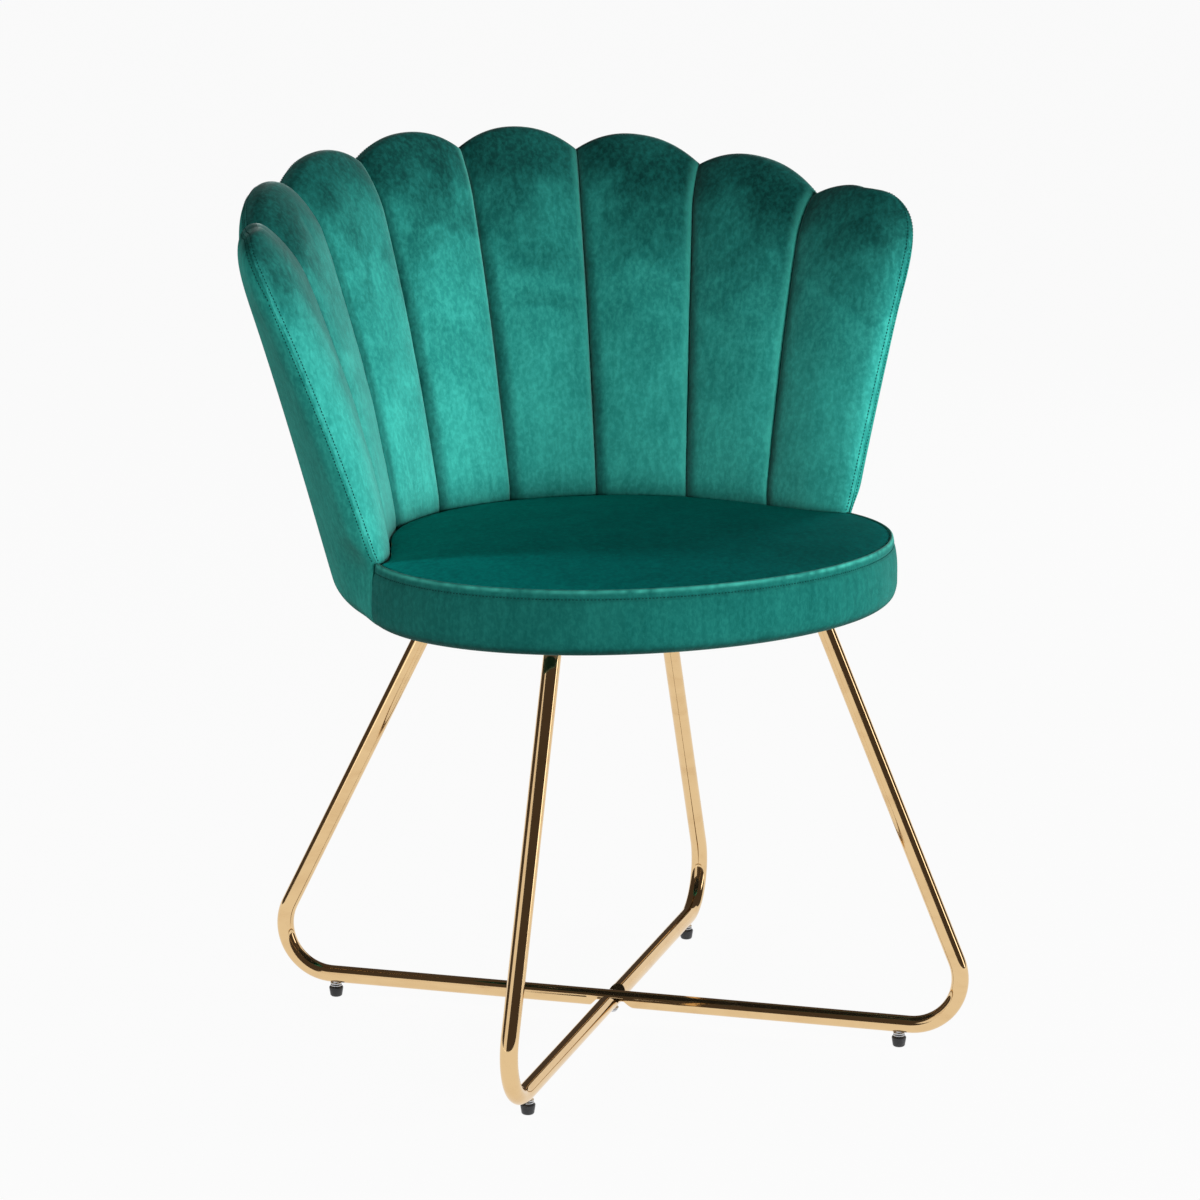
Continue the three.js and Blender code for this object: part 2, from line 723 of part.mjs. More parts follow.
// Boxing: padded band round the front, its hem turned in under the panel
const boxingEnd = wingFootAngle - wingClearAngle;
const boxingAngles = Array.from({ length: frontStations + 1 }, (_, i) => (
  lerp(halfTurn - boxingEnd, 2 * halfTurn + boxingEnd, i / frontStations)
));

function boxingSection(angle) {
  const seam = frontRadius(angle, 0);
  const inner = frontRadius(angle, boxingThickness);
  const hem = frontRadius(angle, boxingThickness + boxingHem);
  const foot = new THREE.CubicBezierCurve(
    point(seam + boxingBulge - boxingRounding, underside),
    point(seam + boxingBulge - boxingRounding * (1 - handleShare), underside),
    point(seam + boxingBulge, underside + boxingRounding * (1 - handleShare)),
    point(seam + boxingBulge, underside + boxingRounding),
  );
  const height = seatSeam - fitGap - underside;
  const outside = [
    point(hem, underside),
    ...bezierPoints(foot, boxingFootShares),
    point(seam + boxingBulge * upperBulgeShare, underside + height * upperBandShare),
    point(seam, seatSeam - fitGap),
  ];
  const inside = [point(inner, seatSeam - fitGap), point(inner, hemTop), point(hem, hemTop)];
  return { station: angle, outline: [...outside, ...inside] };
}

const isRightHalf = (angle) => angle >= 3 * quarterTurn;

function placeAtAngle(radius, z, angle) {
  return new THREE.Vector3(radius * Math.cos(angle), backAxisY + radius * Math.sin(angle), z);
}

addPart('seat_boxing', loftSections(boxingAngles.map(boxingSection), placeAtAngle, isRightHalf), velvet);

// Seat panel and dust cover, flat pieces cut to an outline

function flatPiece(outline, bottom, thickness) {
  const shape = new THREE.Shape(outline.map(({ angle, radius }) => new THREE.Vector2(
    radius * Math.cos(angle),
    backAxisY + radius * Math.sin(angle),
  )));
  return new THREE.ExtrudeGeometry(shape, { depth: thickness, bevelEnabled: false })
    .translate(0, 0, bottom);
}

const againstShell = ({ station }) => shellInside(station, shellBottom) - fitGap;
const insideHem = ({ station }) => hemRadius(station) - fitGap;
const panelOutline = seatOutline(withinFront(againstShell, coreInset), coreInset, 0);
const dustOutline = seatOutline(insideHem, coreInset + boxingHem, 0);

// Mounting plates: each frame's tube ends stand under one, in the frame's own vertical plane
const frames = [
  { name: 'leg_frame_upper', front: 'fr', rear: 'rl', azimuth: -crossingAngle / 2, over: true },
  { name: 'leg_frame_lower', front: 'fl', rear: 'rr', azimuth: -halfTurn + crossingAngle / 2, over: false },
];

const plates = frames.flatMap(({ front, rear, azimuth }) => [
  { corner: front, azimuth, reach: frontPlateReach },
  { corner: rear, azimuth, reach: -rearPlateReach },
]);

// Moves a piece drawn round the Z axis to its plate, with the piece's Y across the frame
function toPlate(geometry, { azimuth, reach }, across = 0) {
  return geometry.translate(reach, across, 0).rotateZ(azimuth);
}

const boltOffsets = [-plateBoltSpacing / 2, plateBoltSpacing / 2];

const legBoltCutters = (diameter, bottom, top) => plates.flatMap((plate) => boltOffsets
  .map((across) => toPlate(uprightCylinder(diameter, bottom, top), plate, across)));

const legBoltHole = legBoltDiameter + boltHoleClearance;
const teeNutTop = panelTop - fitGap;
const teeNutBarrelTop = teeNutTop - teeNutFlangeThickness;

addPart('seat_panel', cutAway(flatPiece(panelOutline, panelUnderside, panelThickness), [
  ...legBoltCutters(teeNutBarrelDiameter + 2 * fitGap, panelUnderside - cutOverrun, panelTop + cutOverrun),
  ...legBoltCutters(teeNutFlangeDiameter + 2 * fitGap, teeNutBarrelTop - fitGap, panelTop + cutOverrun),
  ...shellScrewCutters(),
]), plywood);

addPart('dust_cover', cutAway(flatPiece(dustOutline, underside, clothThickness), legBoltCutters(
  legBoltHole,
  underside - cutOverrun,
  hemTop + cutOverrun,
)), blackCloth);

function roundedPlate() {
  const [x, y] = [plateWidth / 2, plateLength / 2];
  const shape = new THREE.Shape();
  shape.moveTo(x - plateCorner, -y);
  shape.absarc(x - plateCorner, -y + plateCorner, plateCorner, -quarterTurn, 0);
  shape.absarc(x - plateCorner, y - plateCorner, plateCorner, 0, quarterTurn);
  shape.absarc(-x + plateCorner, y - plateCorner, plateCorner, quarterTurn, halfTurn);
  shape.absarc(-x + plateCorner, -y + plateCorner, plateCorner, halfTurn, halfTurn + quarterTurn);
  for (const across of boltOffsets) {
    const hole = new THREE.Path();
    hole.absarc(0, across, legBoltHole / 2, 0, 2 * halfTurn);
    shape.holes.push(hole);
  }
  return new THREE.ExtrudeGeometry(shape, { depth: plateThickness, bevelEnabled: false, curveSegments: 5 })
    .translate(0, 0, plateBottom);
}

function legBolt() {
  const head = legBoltHeadDiameter / 2;
  const [headTop, shank] = [plateBottom - fitGap, legBoltDiameter / 2];
  const bottom = headTop - legBoltHeadHeight;
  return turned([
    [0, bottom + legBoltHeadHeight * socketDepthShare],
    [socketRadius, bottom + legBoltHeadHeight * socketDepthShare],
    [socketRadius, bottom],
    [head * domeShare, bottom],
    [head, bottom + legBoltHeadHeight * domeHeightShare],
    [head, headTop],
    [shank, headTop],
    [shank, headTop + legBoltLength],
    [0, headTop + legBoltLength],
  ], boltSides);
}

function teeNut() {
  const [flange, barrel] = [teeNutFlangeDiameter / 2, teeNutBarrelDiameter / 2];
  const bore = legBoltHole / 2;
  const bottom = teeNutBarrelTop - teeNutBarrelLength;
  return turnedRing([
    [bore, bottom],
    [barrel, bottom],
    [barrel, teeNutBarrelTop],
    [flange, teeNutBarrelTop],
    [flange, teeNutTop],
    [bore, teeNutTop],
  ], boltSides);
}

for (const plate of plates) {
  addPart(`mount_plate_${plate.corner}`, toPlate(roundedPlate(), plate), blackSteel);
  boltOffsets.forEach((across, i) => {
    addPart(`leg_bolt_${plate.corner}_${i + 1}`, toPlate(legBolt(), plate, across), zincSteel);
    addPart(`tee_nut_${plate.corner}_${i + 1}`, toPlate(teeNut(), plate, across), zincSteel);
  });
}

// Bent tubes

// Path whose steps go from one station to the next, so that a straight run takes a single step
class BentTubePath extends THREE.Curve {
  constructor(stations) {
    super();
    this.stations = stations;
  }

  stationAt(share) {
    return this.stations[Math.round(share * (this.stations.length - 1))];
  }

  getPointAt(share) {
    return this.stationAt(share).point.clone();
  }

  getTangentAt(share) {
    return this.stationAt(share).tangent.clone();
  }
}

// Bend between a leg that leans and the rail, as stations in the frame's own plane. Side is 1 at
// the front and -1 at the rear, and the stations run from the leg down into the rail.
function bendStations(side, lean) {
  const turn = quarterTurn + lean;
  const tangentLength = bendRadius * Math.tan(turn / 2);
  const centre = new THREE.Vector2(side * (cornerReach - tangentLength), railHeight + bendRadius);
  return Array.from({ length: bendSteps + 1 }, (_, i) => {
    const angle = turn * (1 - i / bendSteps);
    return {
      along: centre.x + side * bendRadius * Math.sin(angle),
      z: centre.y - bendRadius * Math.cos(angle),
      heading: new THREE.Vector2(-side * Math.cos(angle), -Math.sin(angle)),
    };
  });
}

function legEnd(side, lean) {
  const height = plateBottom + legTrimHeight / 4;
  return {
    along: side * (cornerReach - (height - railHeight) * Math.tan(lean)),
    z: height,
    heading: new THREE.Vector2(side * Math.sin(lean), -Math.cos(lean)),
  };
}

function frameStations() {
  const front = [legEnd(1, frontLean), ...bendStations(1, frontLean)];
  const rear = [legEnd(-1, rearLean), ...bendStations(-1, rearLean)]
    .map(({ along, z, heading }) => ({ along, z, heading: heading.clone().negate() })).reverse();
  const saddle = [1, -1].flatMap((side) => {
    const ends = [saddleLength / 2 + saddleShoulder, saddleLength / 2];
    return (side > 0 ? ends : [...ends].reverse()).map((distance) => ({
      along: side * distance,
      z: railHeight,
      heading: new THREE.Vector2(-1, 0),
    }));
  });
  return [...front, ...saddle, ...rear];
}

// Presses the tube flat at the crossing: the upper rail from below, the lower rail from above
function pressSaddle(geometry, over) {
  const position = geometry.attributes.position;
  const innerRadius = tubeRadius - tubeWall;
  const side = over ? 1 : -1;
  for (let i = 0; i < position.count; i++) {
    const [x, y, z] = [position.getX(i), position.getY(i), position.getZ(i)];
    const isInner = Math.hypot(y, z - railHeight) < (innerRadius + tubeRadius) / 2;
    const limit = fitGap / 2 + (isInner ? tubeWall : 0);
    if (Math.abs(x) < saddleLength / 2 + saddleShoulder / 2 && z < 2 * railHeight) {
      const offset = Math.max(side * (z - railHeight), limit);
      position.setZ(i, railHeight + side * offset);
    }
  }
  return geometry;
}

const boltOnRail = (diameter, along, bottom, top) => uprightCylinder(diameter, bottom, top)
  .translate(along, 0, 0);

const glideReaches = [cornerReach - glideSetback, glideSetback - cornerReach];
const crossHoleDiameter = crossBoltDiameter + boltHoleClearance;

function legFrame({ over }) {
  const stations = frameStations().map(({ along, z, heading }) => ({
    point: new THREE.Vector3(along, 0, z),
    tangent: new THREE.Vector3(heading.x, 0, heading.y),
  }));
  const section = new THREE.Shape().absarc(0, 0, tubeRadius, 0, 2 * halfTurn);
  section.holes.push(new THREE.Path().absarc(0, 0, tubeRadius - tubeWall, 0, 2 * halfTurn));
  const tube = new THREE.ExtrudeGeometry(section, {
    steps: stations.length - 1,
    curveSegments: tubeSides / 2,
    bevelEnabled: false,
    extrudePath: new BentTubePath(stations),
  });
  const legTops = new THREE.BoxGeometry(2 * cornerReach, 2 * cornerReach, legTrimHeight)
    .translate(0, 0, plateBottom - fitGap + legTrimHeight / 2);
  const crossHole = over
    ? boltOnRail(crossInsertBarrelDiameter + 2 * fitGap, 0, 0, railHeight + tubeWall + cutOverrun / 2)
    : boltOnRail(crossHoleDiameter, 0, 0, railHeight + cutOverrun);
  const insertHoles = glideReaches
    .map((along) => boltOnRail(insertBarrelDiameter + 2 * fitGap, along, 0, railHeight));
  return cutAway(pressSaddle(tube, over), [legTops, crossHole, ...insertHoles]);
}

for (const frame of frames) {
  addPart(frame.name, legFrame(frame).rotateZ(frame.azimuth), brass);
}

// At the crossing: an insert set in the pressed wall of the upper rail, and a washer and a bolt
// under the lower rail
const railBottom = railHeight - tubeRadius;
const crossWasherTop = railBottom - fitGap;
const crossWasherBottom = crossWasherTop - crossWasherThickness;
const crossInsertBottom = railHeight + fitGap / 2;
const crossInsertSeat = crossInsertBottom + tubeWall + fitGap;
const crossInsertTop = crossInsertSeat + crossInsertHeight;

function crossBolt() {
  const [head, shank] = [crossBoltHeadDiameter / 2, crossBoltDiameter / 2];
  const headTop = crossWasherBottom - fitGap;
  const bottom = headTop - crossBoltHeadHeight;
  return turned([
    [0, bottom + crossBoltHeadHeight * socketDepthShare],
    [socketRadius, bottom + crossBoltHeadHeight * socketDepthShare],
    [socketRadius, bottom],
    [head * domeShare, bottom],
    [head, bottom + crossBoltHeadHeight * domeHeightShare],
    [head, headTop],
    [shank, headTop],
    [shank, crossInsertTop + crossBoltTip],
    [0, crossInsertTop + crossBoltTip],
  ], boltSides);
}

function crossWasher() {
  return turnedRing([
    [crossHoleDiameter / 2, crossWasherBottom],
    [crossWasherDiameter / 2, crossWasherBottom],
    [crossWasherDiameter / 2, crossWasherTop],
    [crossHoleDiameter / 2, crossWasherTop],
  ], boltSides);
}

function crossInsert() {
  const [barrel, flange] = [crossInsertBarrelDiameter / 2, crossInsertFlangeDiameter / 2];
  return turnedRing([
    [crossHoleDiameter / 2, crossInsertBottom],
    [barrel, crossInsertBottom],
    [barrel, crossInsertSeat],
    [flange, crossInsertSeat],
    [flange, crossInsertSeat + crossInsertFlangeThickness],
    [barrel, crossInsertSeat + crossInsertFlangeThickness],
    [barrel, crossInsertTop],
    [crossHoleDiameter / 2, crossInsertTop],
  ], boltSides);
}

addPart('cross_bolt', crossBolt(), zincSteel);
addPart('cross_washer', crossWasher(), zincSteel);
addPart('cross_insert', crossInsert(), zincSteel);

// Levelling glides: an insert set in the rail, a stud with a collar, and a plastic pad on its foot
const collarBottom = padHeight + fitGap;
const collarTop = collarBottom + studCollarThickness;
const flangeBottom = collarTop + adjustingGap;
const flangeTop = flangeBottom + insertFlangeThickness;

function glidePad() {
  const [foot, top, socket] = [padFootDiameter / 2, padTopDiameter / 2, studDiameter / 2 + fitGap];
  return turned([
    [0, 0],
    [foot - padEdge, 0],
    [foot, padEdge],
    [top, padHeight - padEdge],
    [top - padEdge, padHeight],
    [socket, padHeight],
    [socket, padHeight - studSeat],
    [0, padHeight - studSeat],
  ], padSides);
}

function glideStud() {
  const [shank, collar] = [studDiameter / 2, studCollarDiameter / 2];
  const bottom = padHeight - studSeat + fitGap;
  return turned([
    [0, bottom],
    [shank, bottom],
    [shank, collarBottom],
    [collar, collarBottom],
    [collar, collarTop],
    [shank, collarTop],
    [shank, collarTop + studLength],
    [0, collarTop + studLength],
  ], boltSides);
}

function glideInsert() {
  const [bore, barrel, flange] = [
    studDiameter / 2 + fitGap,
    insertBarrelDiameter / 2,
    insertFlangeDiameter / 2,
  ];
  return turnedRing([
    [bore, flangeBottom],
    [flange, flangeBottom],
    [flange, flangeTop],
    [barrel, flangeTop],
    [barrel, flangeTop + insertBarrelLength],
    [bore, flangeTop + insertBarrelLength],
  ], boltSides);
}

for (const { front, rear, azimuth } of frames) {
  [front, rear].forEach((corner, i) => {
    const onRail = (geometry) => geometry.translate(glideReaches[i], 0, 0).rotateZ(azimuth);
    addPart(`glide_insert_${corner}`, onRail(glideInsert()), zincSteel);
    addPart(`glide_stud_${corner}`, onRail(glideStud()), zincSteel);
    addPart(`glide_pad_${corner}`, onRail(glidePad()), blackPlastic);
  });
}

// The chair's box stands on the floor, centred on the origin
const box = new THREE.Box3().setFromObject(chair, true);
chair.position.set(-(box.min.x + box.max.x) / 2, -(box.min.y + box.max.y) / 2, -box.min.z);

const group = new THREE.Group();
group.add(chair);

export default group;
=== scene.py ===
import json
import math

import bmesh
import bpy
from mathutils import Matrix, Vector, noise
from mathutils.bvhtree import BVHTree


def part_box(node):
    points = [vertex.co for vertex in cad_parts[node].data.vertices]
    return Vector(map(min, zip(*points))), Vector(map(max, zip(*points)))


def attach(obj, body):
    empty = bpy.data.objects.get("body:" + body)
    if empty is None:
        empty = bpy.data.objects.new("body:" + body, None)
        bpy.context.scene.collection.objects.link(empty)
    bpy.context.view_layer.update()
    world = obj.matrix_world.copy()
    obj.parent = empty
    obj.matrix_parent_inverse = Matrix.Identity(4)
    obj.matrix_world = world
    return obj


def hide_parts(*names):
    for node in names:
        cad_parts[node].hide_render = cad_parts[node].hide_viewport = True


# Scallop back chair, seen from the front. Shapes are worked out in millimetres from the point of
# the floor under the crossing of the legs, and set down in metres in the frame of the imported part.

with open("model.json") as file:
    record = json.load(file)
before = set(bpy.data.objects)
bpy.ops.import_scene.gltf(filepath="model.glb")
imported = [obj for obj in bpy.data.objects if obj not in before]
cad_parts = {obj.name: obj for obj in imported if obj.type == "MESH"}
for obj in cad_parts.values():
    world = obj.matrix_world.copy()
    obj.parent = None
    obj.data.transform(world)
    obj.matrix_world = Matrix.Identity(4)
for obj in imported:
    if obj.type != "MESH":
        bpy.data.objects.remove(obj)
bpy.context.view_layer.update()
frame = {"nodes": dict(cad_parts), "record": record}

MM = 0.001
right_angle = math.pi / 2


def middle_of(node):
    """Point of the floor under the middle of a node of the frame."""
    low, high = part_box(node)
    return Vector(((low.x + high.x) / 2, (low.y + high.y) / 2, 0))


def heights_of(node):
    """Lowest and highest point of a node of the frame, in millimetres."""
    low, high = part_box(node)
    return low.z / MM, high.z / MM


crossing = middle_of("cross_bolt")
fit_gap = 0.3

# Seat
seat_seam = 467.0
seat_top = 477.0
seat_crown = 7.0
seat_half_width = 251.0
seat_front_reach = 196.0
seat_widest_forward = 22.0  # widest line of the seat, ahead of the back's axis
pad_edge = 0.6  # seat pad at its sewn edge
pad_shoulder = 2.6  # its rounded rise just inside the edge
pad_overlap = 1.2  # how far it lies over the band's fold
pad_ripple = 0.9

# Band round the front of the seat
underside = 408.2
hem_top = 409.7
boxing_bulge = 5.0
boxing_rounding = 15.0
boxing_thickness = 11.0
boxing_hem = 24.0
seam_band = 7.0  # flat band under the seat's seam, down to its row of stitches
strip_bulge = 0.45  # share of the bulge left at that row
strip_taper = 0.6
stitch_dent = 1.3
dent_width = 1.2
band_softness = 0.6
fold_radius = 2.0  # rolled edge beside the seat's seam
pucker_height = 1.5
pucker_length = 3.4
pucker_reach = 0.03  # share of the band with puckers at either end, and with none at the very end
pucker_end = 0.004
pucker_foot = 418.0
# Width of the painted highlight along the band's fold beside the seat's seam
painted_highlight_width = 1.9

# Back
axis_forward = 16.0
crest_rise = 348.5
crest_fall = 71.0
scallop_depth = 20.0
scallop_power = 2.2
petal_shares = [0.226, 0.258, 0.258, 0.258]
petal_count = 2 * len(petal_shares)
wing_foot_angle = math.radians(1)
wing_top_angle = math.radians(7.2)
wing_lift = 3.6  # fuller top of a wing's padding
wing_lift_middle = 0.02
wing_lift_spread = 0.45
wing_fall = 53.0  # drop of a wing's top to its front corner
wing_fall_start = 0.3
wall_foot = 278.0
wall_flare = 85.0
wing_tuck = 16.0  # how far the wall is drawn in at the foot of the wings
wing_tuck_reach = 0.5
inner_roll_height = 46.0
outer_roll_height = 80.0
roll_flat = 4.0  # depth under the top at which a petal's face ends
ridge_circle = 325.0  # radius of the line along the top, and how much more it has at the wings
wing_ridge_more = 12.0

# Petals
petal_bottom = 437.0
groove_foot = 214.0
groove_lean = 58.0
groove_curl = 38.0
petal_depth_low = 8.0
petal_depth = 16.0
petal_depth_rise = 90.0
petal_roundness = 2.5
unfilled = 0.9  # fullness of a petal before it is padded
wing_slimming = 16.0
held_edge = 0.86  # across a petal, and under its top and from its back, where it is held sewn
held_below_top = 14.0
held_behind = 3.0
held_foot = 500.0
groove_shade_start = 0.6  # across a petal, where the painted shade on one side of a groove and the painted highlight on the other begin, and how strong that highlight is
groove_highlight_start = 0.84
groove_highlight_most = 0.4
gather_start = 0.45
gather_height = 0.9
gather_length = 13.0
gather_foot = 470.0
gather_rise = 60.0
wave_height = 0.8
wave_length = 46.0

# Shell and outer cover
shell_thickness = 12.0
shell_bottom = 414.0
shell_foot = 410.0
shell_foot_inset = 9.0
shell_end = 0.5  # place on a wing petal where the shell stops
shell_top_turn = 0.4  # where under the outer roll the shell's edge lies
wing_padding = 4.0  # padding over the shell at the wings and elsewhere
wall_padding = 10.0
cover_rounding = 24.0  # foot of the outer cover
cover_hem = 20.0
cover_foot_cloth = 3.0
cover_nose = 12.0  # depth over which the outer cover turns in to a wing's front seam
nose_low = 455.0
nose_fade = 14.0
nose_inset = 2.2
nose_rise = 40.0
flush_run = 60.0  # length over which the outer cover comes in flush with the seat's band
flush_fade = 25.0
seam_turn = 0.74  # where on the outer roll the two covers are sewn together
wing_seam_turn = 0.97  # the same at a wing's front corner
seam_inset = 8.0  # seam down a wing's front edge, in from the outside of the shell
seam_shift_start = 0.6
flush_foot_run = 132.0  # length over which its foot comes in to the round of the band's
lip_thickness = 1.1  # outer cover beside that seam
edge_cloth = 0.8  # petal beside that seam
lip_turn = 0.006  # step of the outer roll beside the seam
tuck_step = 0.6  # points of the cloth tucked into the seam
tuck_reach = 4.0

# Stitches
stitch_pitch = 3.2
stitch_length = 2.8
stitch_thickness = 0.85
stitch_lift = 0.15
seam_row_offset = 3.3
row_start = 2.0  # above the seat's seam
row_end = 4.0  # under a wing's front corner
groove_clear = 0.94  # across a petal, where the rows leave out a groove

# Legs
tube_radius = 8.0
rail_height = 22.0
bend_radius = 47.0
corner_reach = 356.0
front_plate_reach = 0.782 * seat_half_width
rear_plate_reach = 0.656 * seat_half_width
plate_bottom = 403.9
leg_overrun = 12.0
saddle_half = 13.5
saddle_shoulder = 9.0
saddle_run = 30.0
saddle_clear = 1.5
saddle_softness = 1.2
pressed_spread = 0.10  # how much wider the tube is where it is pressed, and in the saddle
saddle_spread = 0.06

petal_bounds = [sum(petal_shares[:k]) for k in range(len(petal_shares) + 1)]
wing_numbers = (1, petal_count)


def lerp(a, b, share):
    return a + (b - a) * share


def clamp(value, low=0.0, high=1.0):
    return max(low, min(high, value))


def ease(share):
    share = clamp(share)
    return share * share * (3 - 2 * share)


def rounding(share):
    return 1 - math.sqrt(1 - clamp(share) ** 2)


def spread(count, start=0.0, end=1.0):
    return [lerp(start, end, i / count) for i in range(count + 1)]


def hump(distance, width):
    """Bell-shaped share, 1 in the middle."""
    return math.exp(-((distance / width) ** 2))


def toward(start, end, length):
    """Point at a length from start on the way to end, or halfway if that is nearer."""
    share = min(length / max(math.dist(start, end), 1e-6), 0.5)
    return tuple(lerp(a, b, share) for a, b in zip(start, end))


def in_frame(x, y, z):
    return crossing + Vector((x, y, z)) * MM


def round_axis(radius, angle, z):
    """Point at a radius and an angle round the upright axis of the back."""
    return in_frame(radius * math.cos(angle), radius * math.sin(angle) - axis_forward, z)


# Shape of the back. A place is (station, across, in_wing): the station runs from 0 at the right
# wing's front edge to 2 at the left one's, and across runs over one petal from -1, nearer to the
# centre of the back, to 1.

def from_wing(station):
    return min(station, 2 - station)


def crest_at(station):
    return seat_seam + crest_rise - crest_fall * (1 - from_wing(station)) ** 2


def wing_angle(z):
    rise = clamp((z - seat_seam) / (crest_at(0) - seat_seam))
    return lerp(wing_foot_angle, wing_top_angle, rise)


def sweep_angle(station, z):
    angle = lerp(wing_angle(z), right_angle, from_wing(station))
    return math.pi - angle if station > 1 else angle


def on_back(radius, z, station):
    return round_axis(radius, sweep_angle(station, z), z)


def top_at(place):
    station, across, in_wing = place
    lift = wing_lift * hump(across - wing_lift_middle, wing_lift_spread) if in_wing else 0
    if in_wing and across > 0:
        fall = wing_fall * rounding((across - wing_fall_start) / (1 - wing_fall_start))
        return crest_at(petal_shares[0] / 2) + lift - fall
    return crest_at(station) + lift - scallop_depth * abs(across) ** scallop_power


def rise_share(station, z):
    return (z - seat_seam) / (crest_at(station) - seat_seam)


def wall_radius(station, z):
    rise = rise_share(station, z)
    near_wing = clamp(1 - from_wing(station) / wing_tuck_reach) ** 2
    return wall_foot + wall_flare * rise - wing_tuck * near_wing * (1 - max(rise, 0) ** 2)


def padding_at(station):
    return lerp(wing_padding, wall_padding, clamp(2 * from_wing(station) / petal_shares[0]))


def shell_outside(station, z):
    inset = shell_foot_inset * clamp((seat_top - z) / (seat_top - shell_foot))
    return wall_radius(station, z) - padding_at(station) - inset


def shell_inside(station, z):
    return shell_outside(station, z) - shell_thickness


def groove_line(rise):
    return groove_foot + groove_lean * rise + groove_curl * rise ** 2


def petal_face(place, z, fullness=1.0):
    station, across, in_wing = place
    rise = rise_share(station, max(z, seat_top))
    depth = lerp(petal_depth_low, petal_depth, clamp((z - seat_top) / petal_depth_rise))
    slimming = wing_slimming * clamp(1 - from_wing(station) / petal_shares[0])
    sewn = groove_line(rise) + depth / 2 + slimming
    if in_wing and across > 0:
        edge = shell_outside(station, z) - seam_inset - edge_cloth
        return lerp(sewn - depth * fullness, edge, rounding(across))
    return sewn - depth * fullness * math.sqrt(max(0.0, 1 - abs(across) ** petal_roundness))


def outer_face(place, z):
    station, across, in_wing = place
    nose = rounding((across - shell_end) / (1 - shell_end)) if in_wing else 0
    return wall_radius(station, z) - nose_inset * clamp((z - seat_seam) / nose_rise) * nose


def seam_shift(place):
    """How far the joint between the covers moves in from the shell towards a wing's front seam."""
    _, across, in_wing = place
    share = (across - seam_shift_start) / (1 - seam_shift_start)
    return seam_inset * rounding(share) if in_wing else 0.0


def ahead_of(place, z):
    """Length of wall from here to the wing's front edge."""
    return (right_angle - wing_angle(z)) * from_wing(place[0]) * wall_foot


def cover_face(place, z):
    """Outside of the outer cover: flush with the seat's band at a wing's foot, and rounded over to
    the seam at the wing's front edge."""
    station = place[0]
    ahead = ahead_of(place, z)
    radius = outer_face(place, z)
    low = ease((seat_seam + flush_fade - z) / (2 * flush_fade)) * (1 - ease(ahead / flush_run))
    if low > 0:
        radius = lerp(radius, band_face(wing_foot_angle, max(z, underside + boxing_rounding)), low)
    if ahead < cover_nose:
        end = shell_outside(station, z) - seam_inset + lip_thickness + fit_gap
        share = rounding(1 - ahead / cover_nose) * ease((z - nose_low) / nose_fade)
        radius = lerp(radius, end, share)
    return radius


def plain_ridge(place):
    """Radius of the line over the top where the inner roll and the outer roll meet, before a wing's
    front edge is drawn in to its seam."""
    station, across, in_wing = place
    crest = crest_at(station)
    outside = wall_radius(station, crest - outer_roll_height)
    inside = groove_line(rise_share(station, crest - inner_roll_height))
    circle = ridge_circle + wing_ridge_more * (1 - from_wing(station))
    share = clamp((circle - inside) / (outside - inside), 0.3, 0.9)
    top = top_at(place)
    unturned = (station, min(across, 0) if in_wing else across, in_wing)
    return lerp(petal_face(unturned, top - inner_roll_height),
                outer_face(place, top - outer_roll_height), share)


def ridge_radius(place):
    station, across, in_wing = place
    plain = plain_ridge(place)
    if not in_wing:
        return plain
    return lerp(plain, shell_outside(station, top_at(place)) - seam_inset, ease(across))


def inner_roll(place, turn, fullness):
    """Point of the roll inside, as (radius, height): turn runs from 0 at the petal to 1 at the
    top."""
    top = top_at(place)
    z = top - inner_roll_height + inner_roll_height * math.sin(turn * right_angle)
    face = petal_face(place, min(z, top - roll_flat), fullness)
    return lerp(ridge_radius(place), face, math.cos(turn * right_angle)), z


def outer_roll(place, turn):
    """The same outside: turn runs from 0 at the wall to 1 at the top."""
    z = top_at(place) - outer_roll_height + outer_roll_height * math.sin(turn * right_angle)
    return lerp(ridge_radius(place), cover_face(place, z), math.cos(turn * right_angle)), z


def seam_at(place):
    """Turn of the outer roll at which the covers are sewn together."""
    _, across, in_wing = place
    return lerp(seam_turn, wing_seam_turn, ease(across)) if in_wing else seam_turn


def shell_line(place):
    """Joint between the covers from the seat's top up to the shell's edge under the roll."""
    station, across, in_wing = place
    turn = shell_top_turn * right_angle
    top = top_at(place) - outer_roll_height + outer_roll_height * math.sin(turn)
    edge = lerp(plain_ridge(place), outer_face(place, top), math.cos(turn)) - padding_at(station)
    line = [(shell_outside(station, z), z) for z in spread(6, seat_top, top)[:-1]] + [(edge, top)]
    line = [(r - seam_shift(place), z) for r, z in line]
    if in_wing and across > shell_end:
        line = [(max(r, petal_face(place, z) + edge_cloth), z) for r, z in line]
    return line


def petal_index(number):
    """Petals are numbered from the right wing as the frame's nodes are, and counted from 0 at
    either wing."""
    left = number > petal_count // 2
    return left, petal_count - number if left else number - 1


def petal_place(number, across):
    left, k = petal_index(number)
    station = lerp(petal_bounds[k + 1], petal_bounds[k], (1 + across) / 2)
    return (2 - station if left else station, across, k == 0)


def place_of(number, co):
    """Place on a petal, radius and height of a point of its mesh."""
    x, y, z = (co - crossing) / MM
    y += axis_forward
    radius, angle = math.hypot(x, y), math.atan2(y, x)
    left, k = petal_index(number)
    if left:
        angle = math.pi - angle
    start = wing_angle(z)
    station = (angle - start) / (right_angle - start)
    low, high = petal_bounds[k], petal_bounds[k + 1]
    across = clamp(2 * (high - station) / (high - low) - 1, -1, 1)
    return (2 - station if left else station, across, k == 0), radius, z


# Making pieces

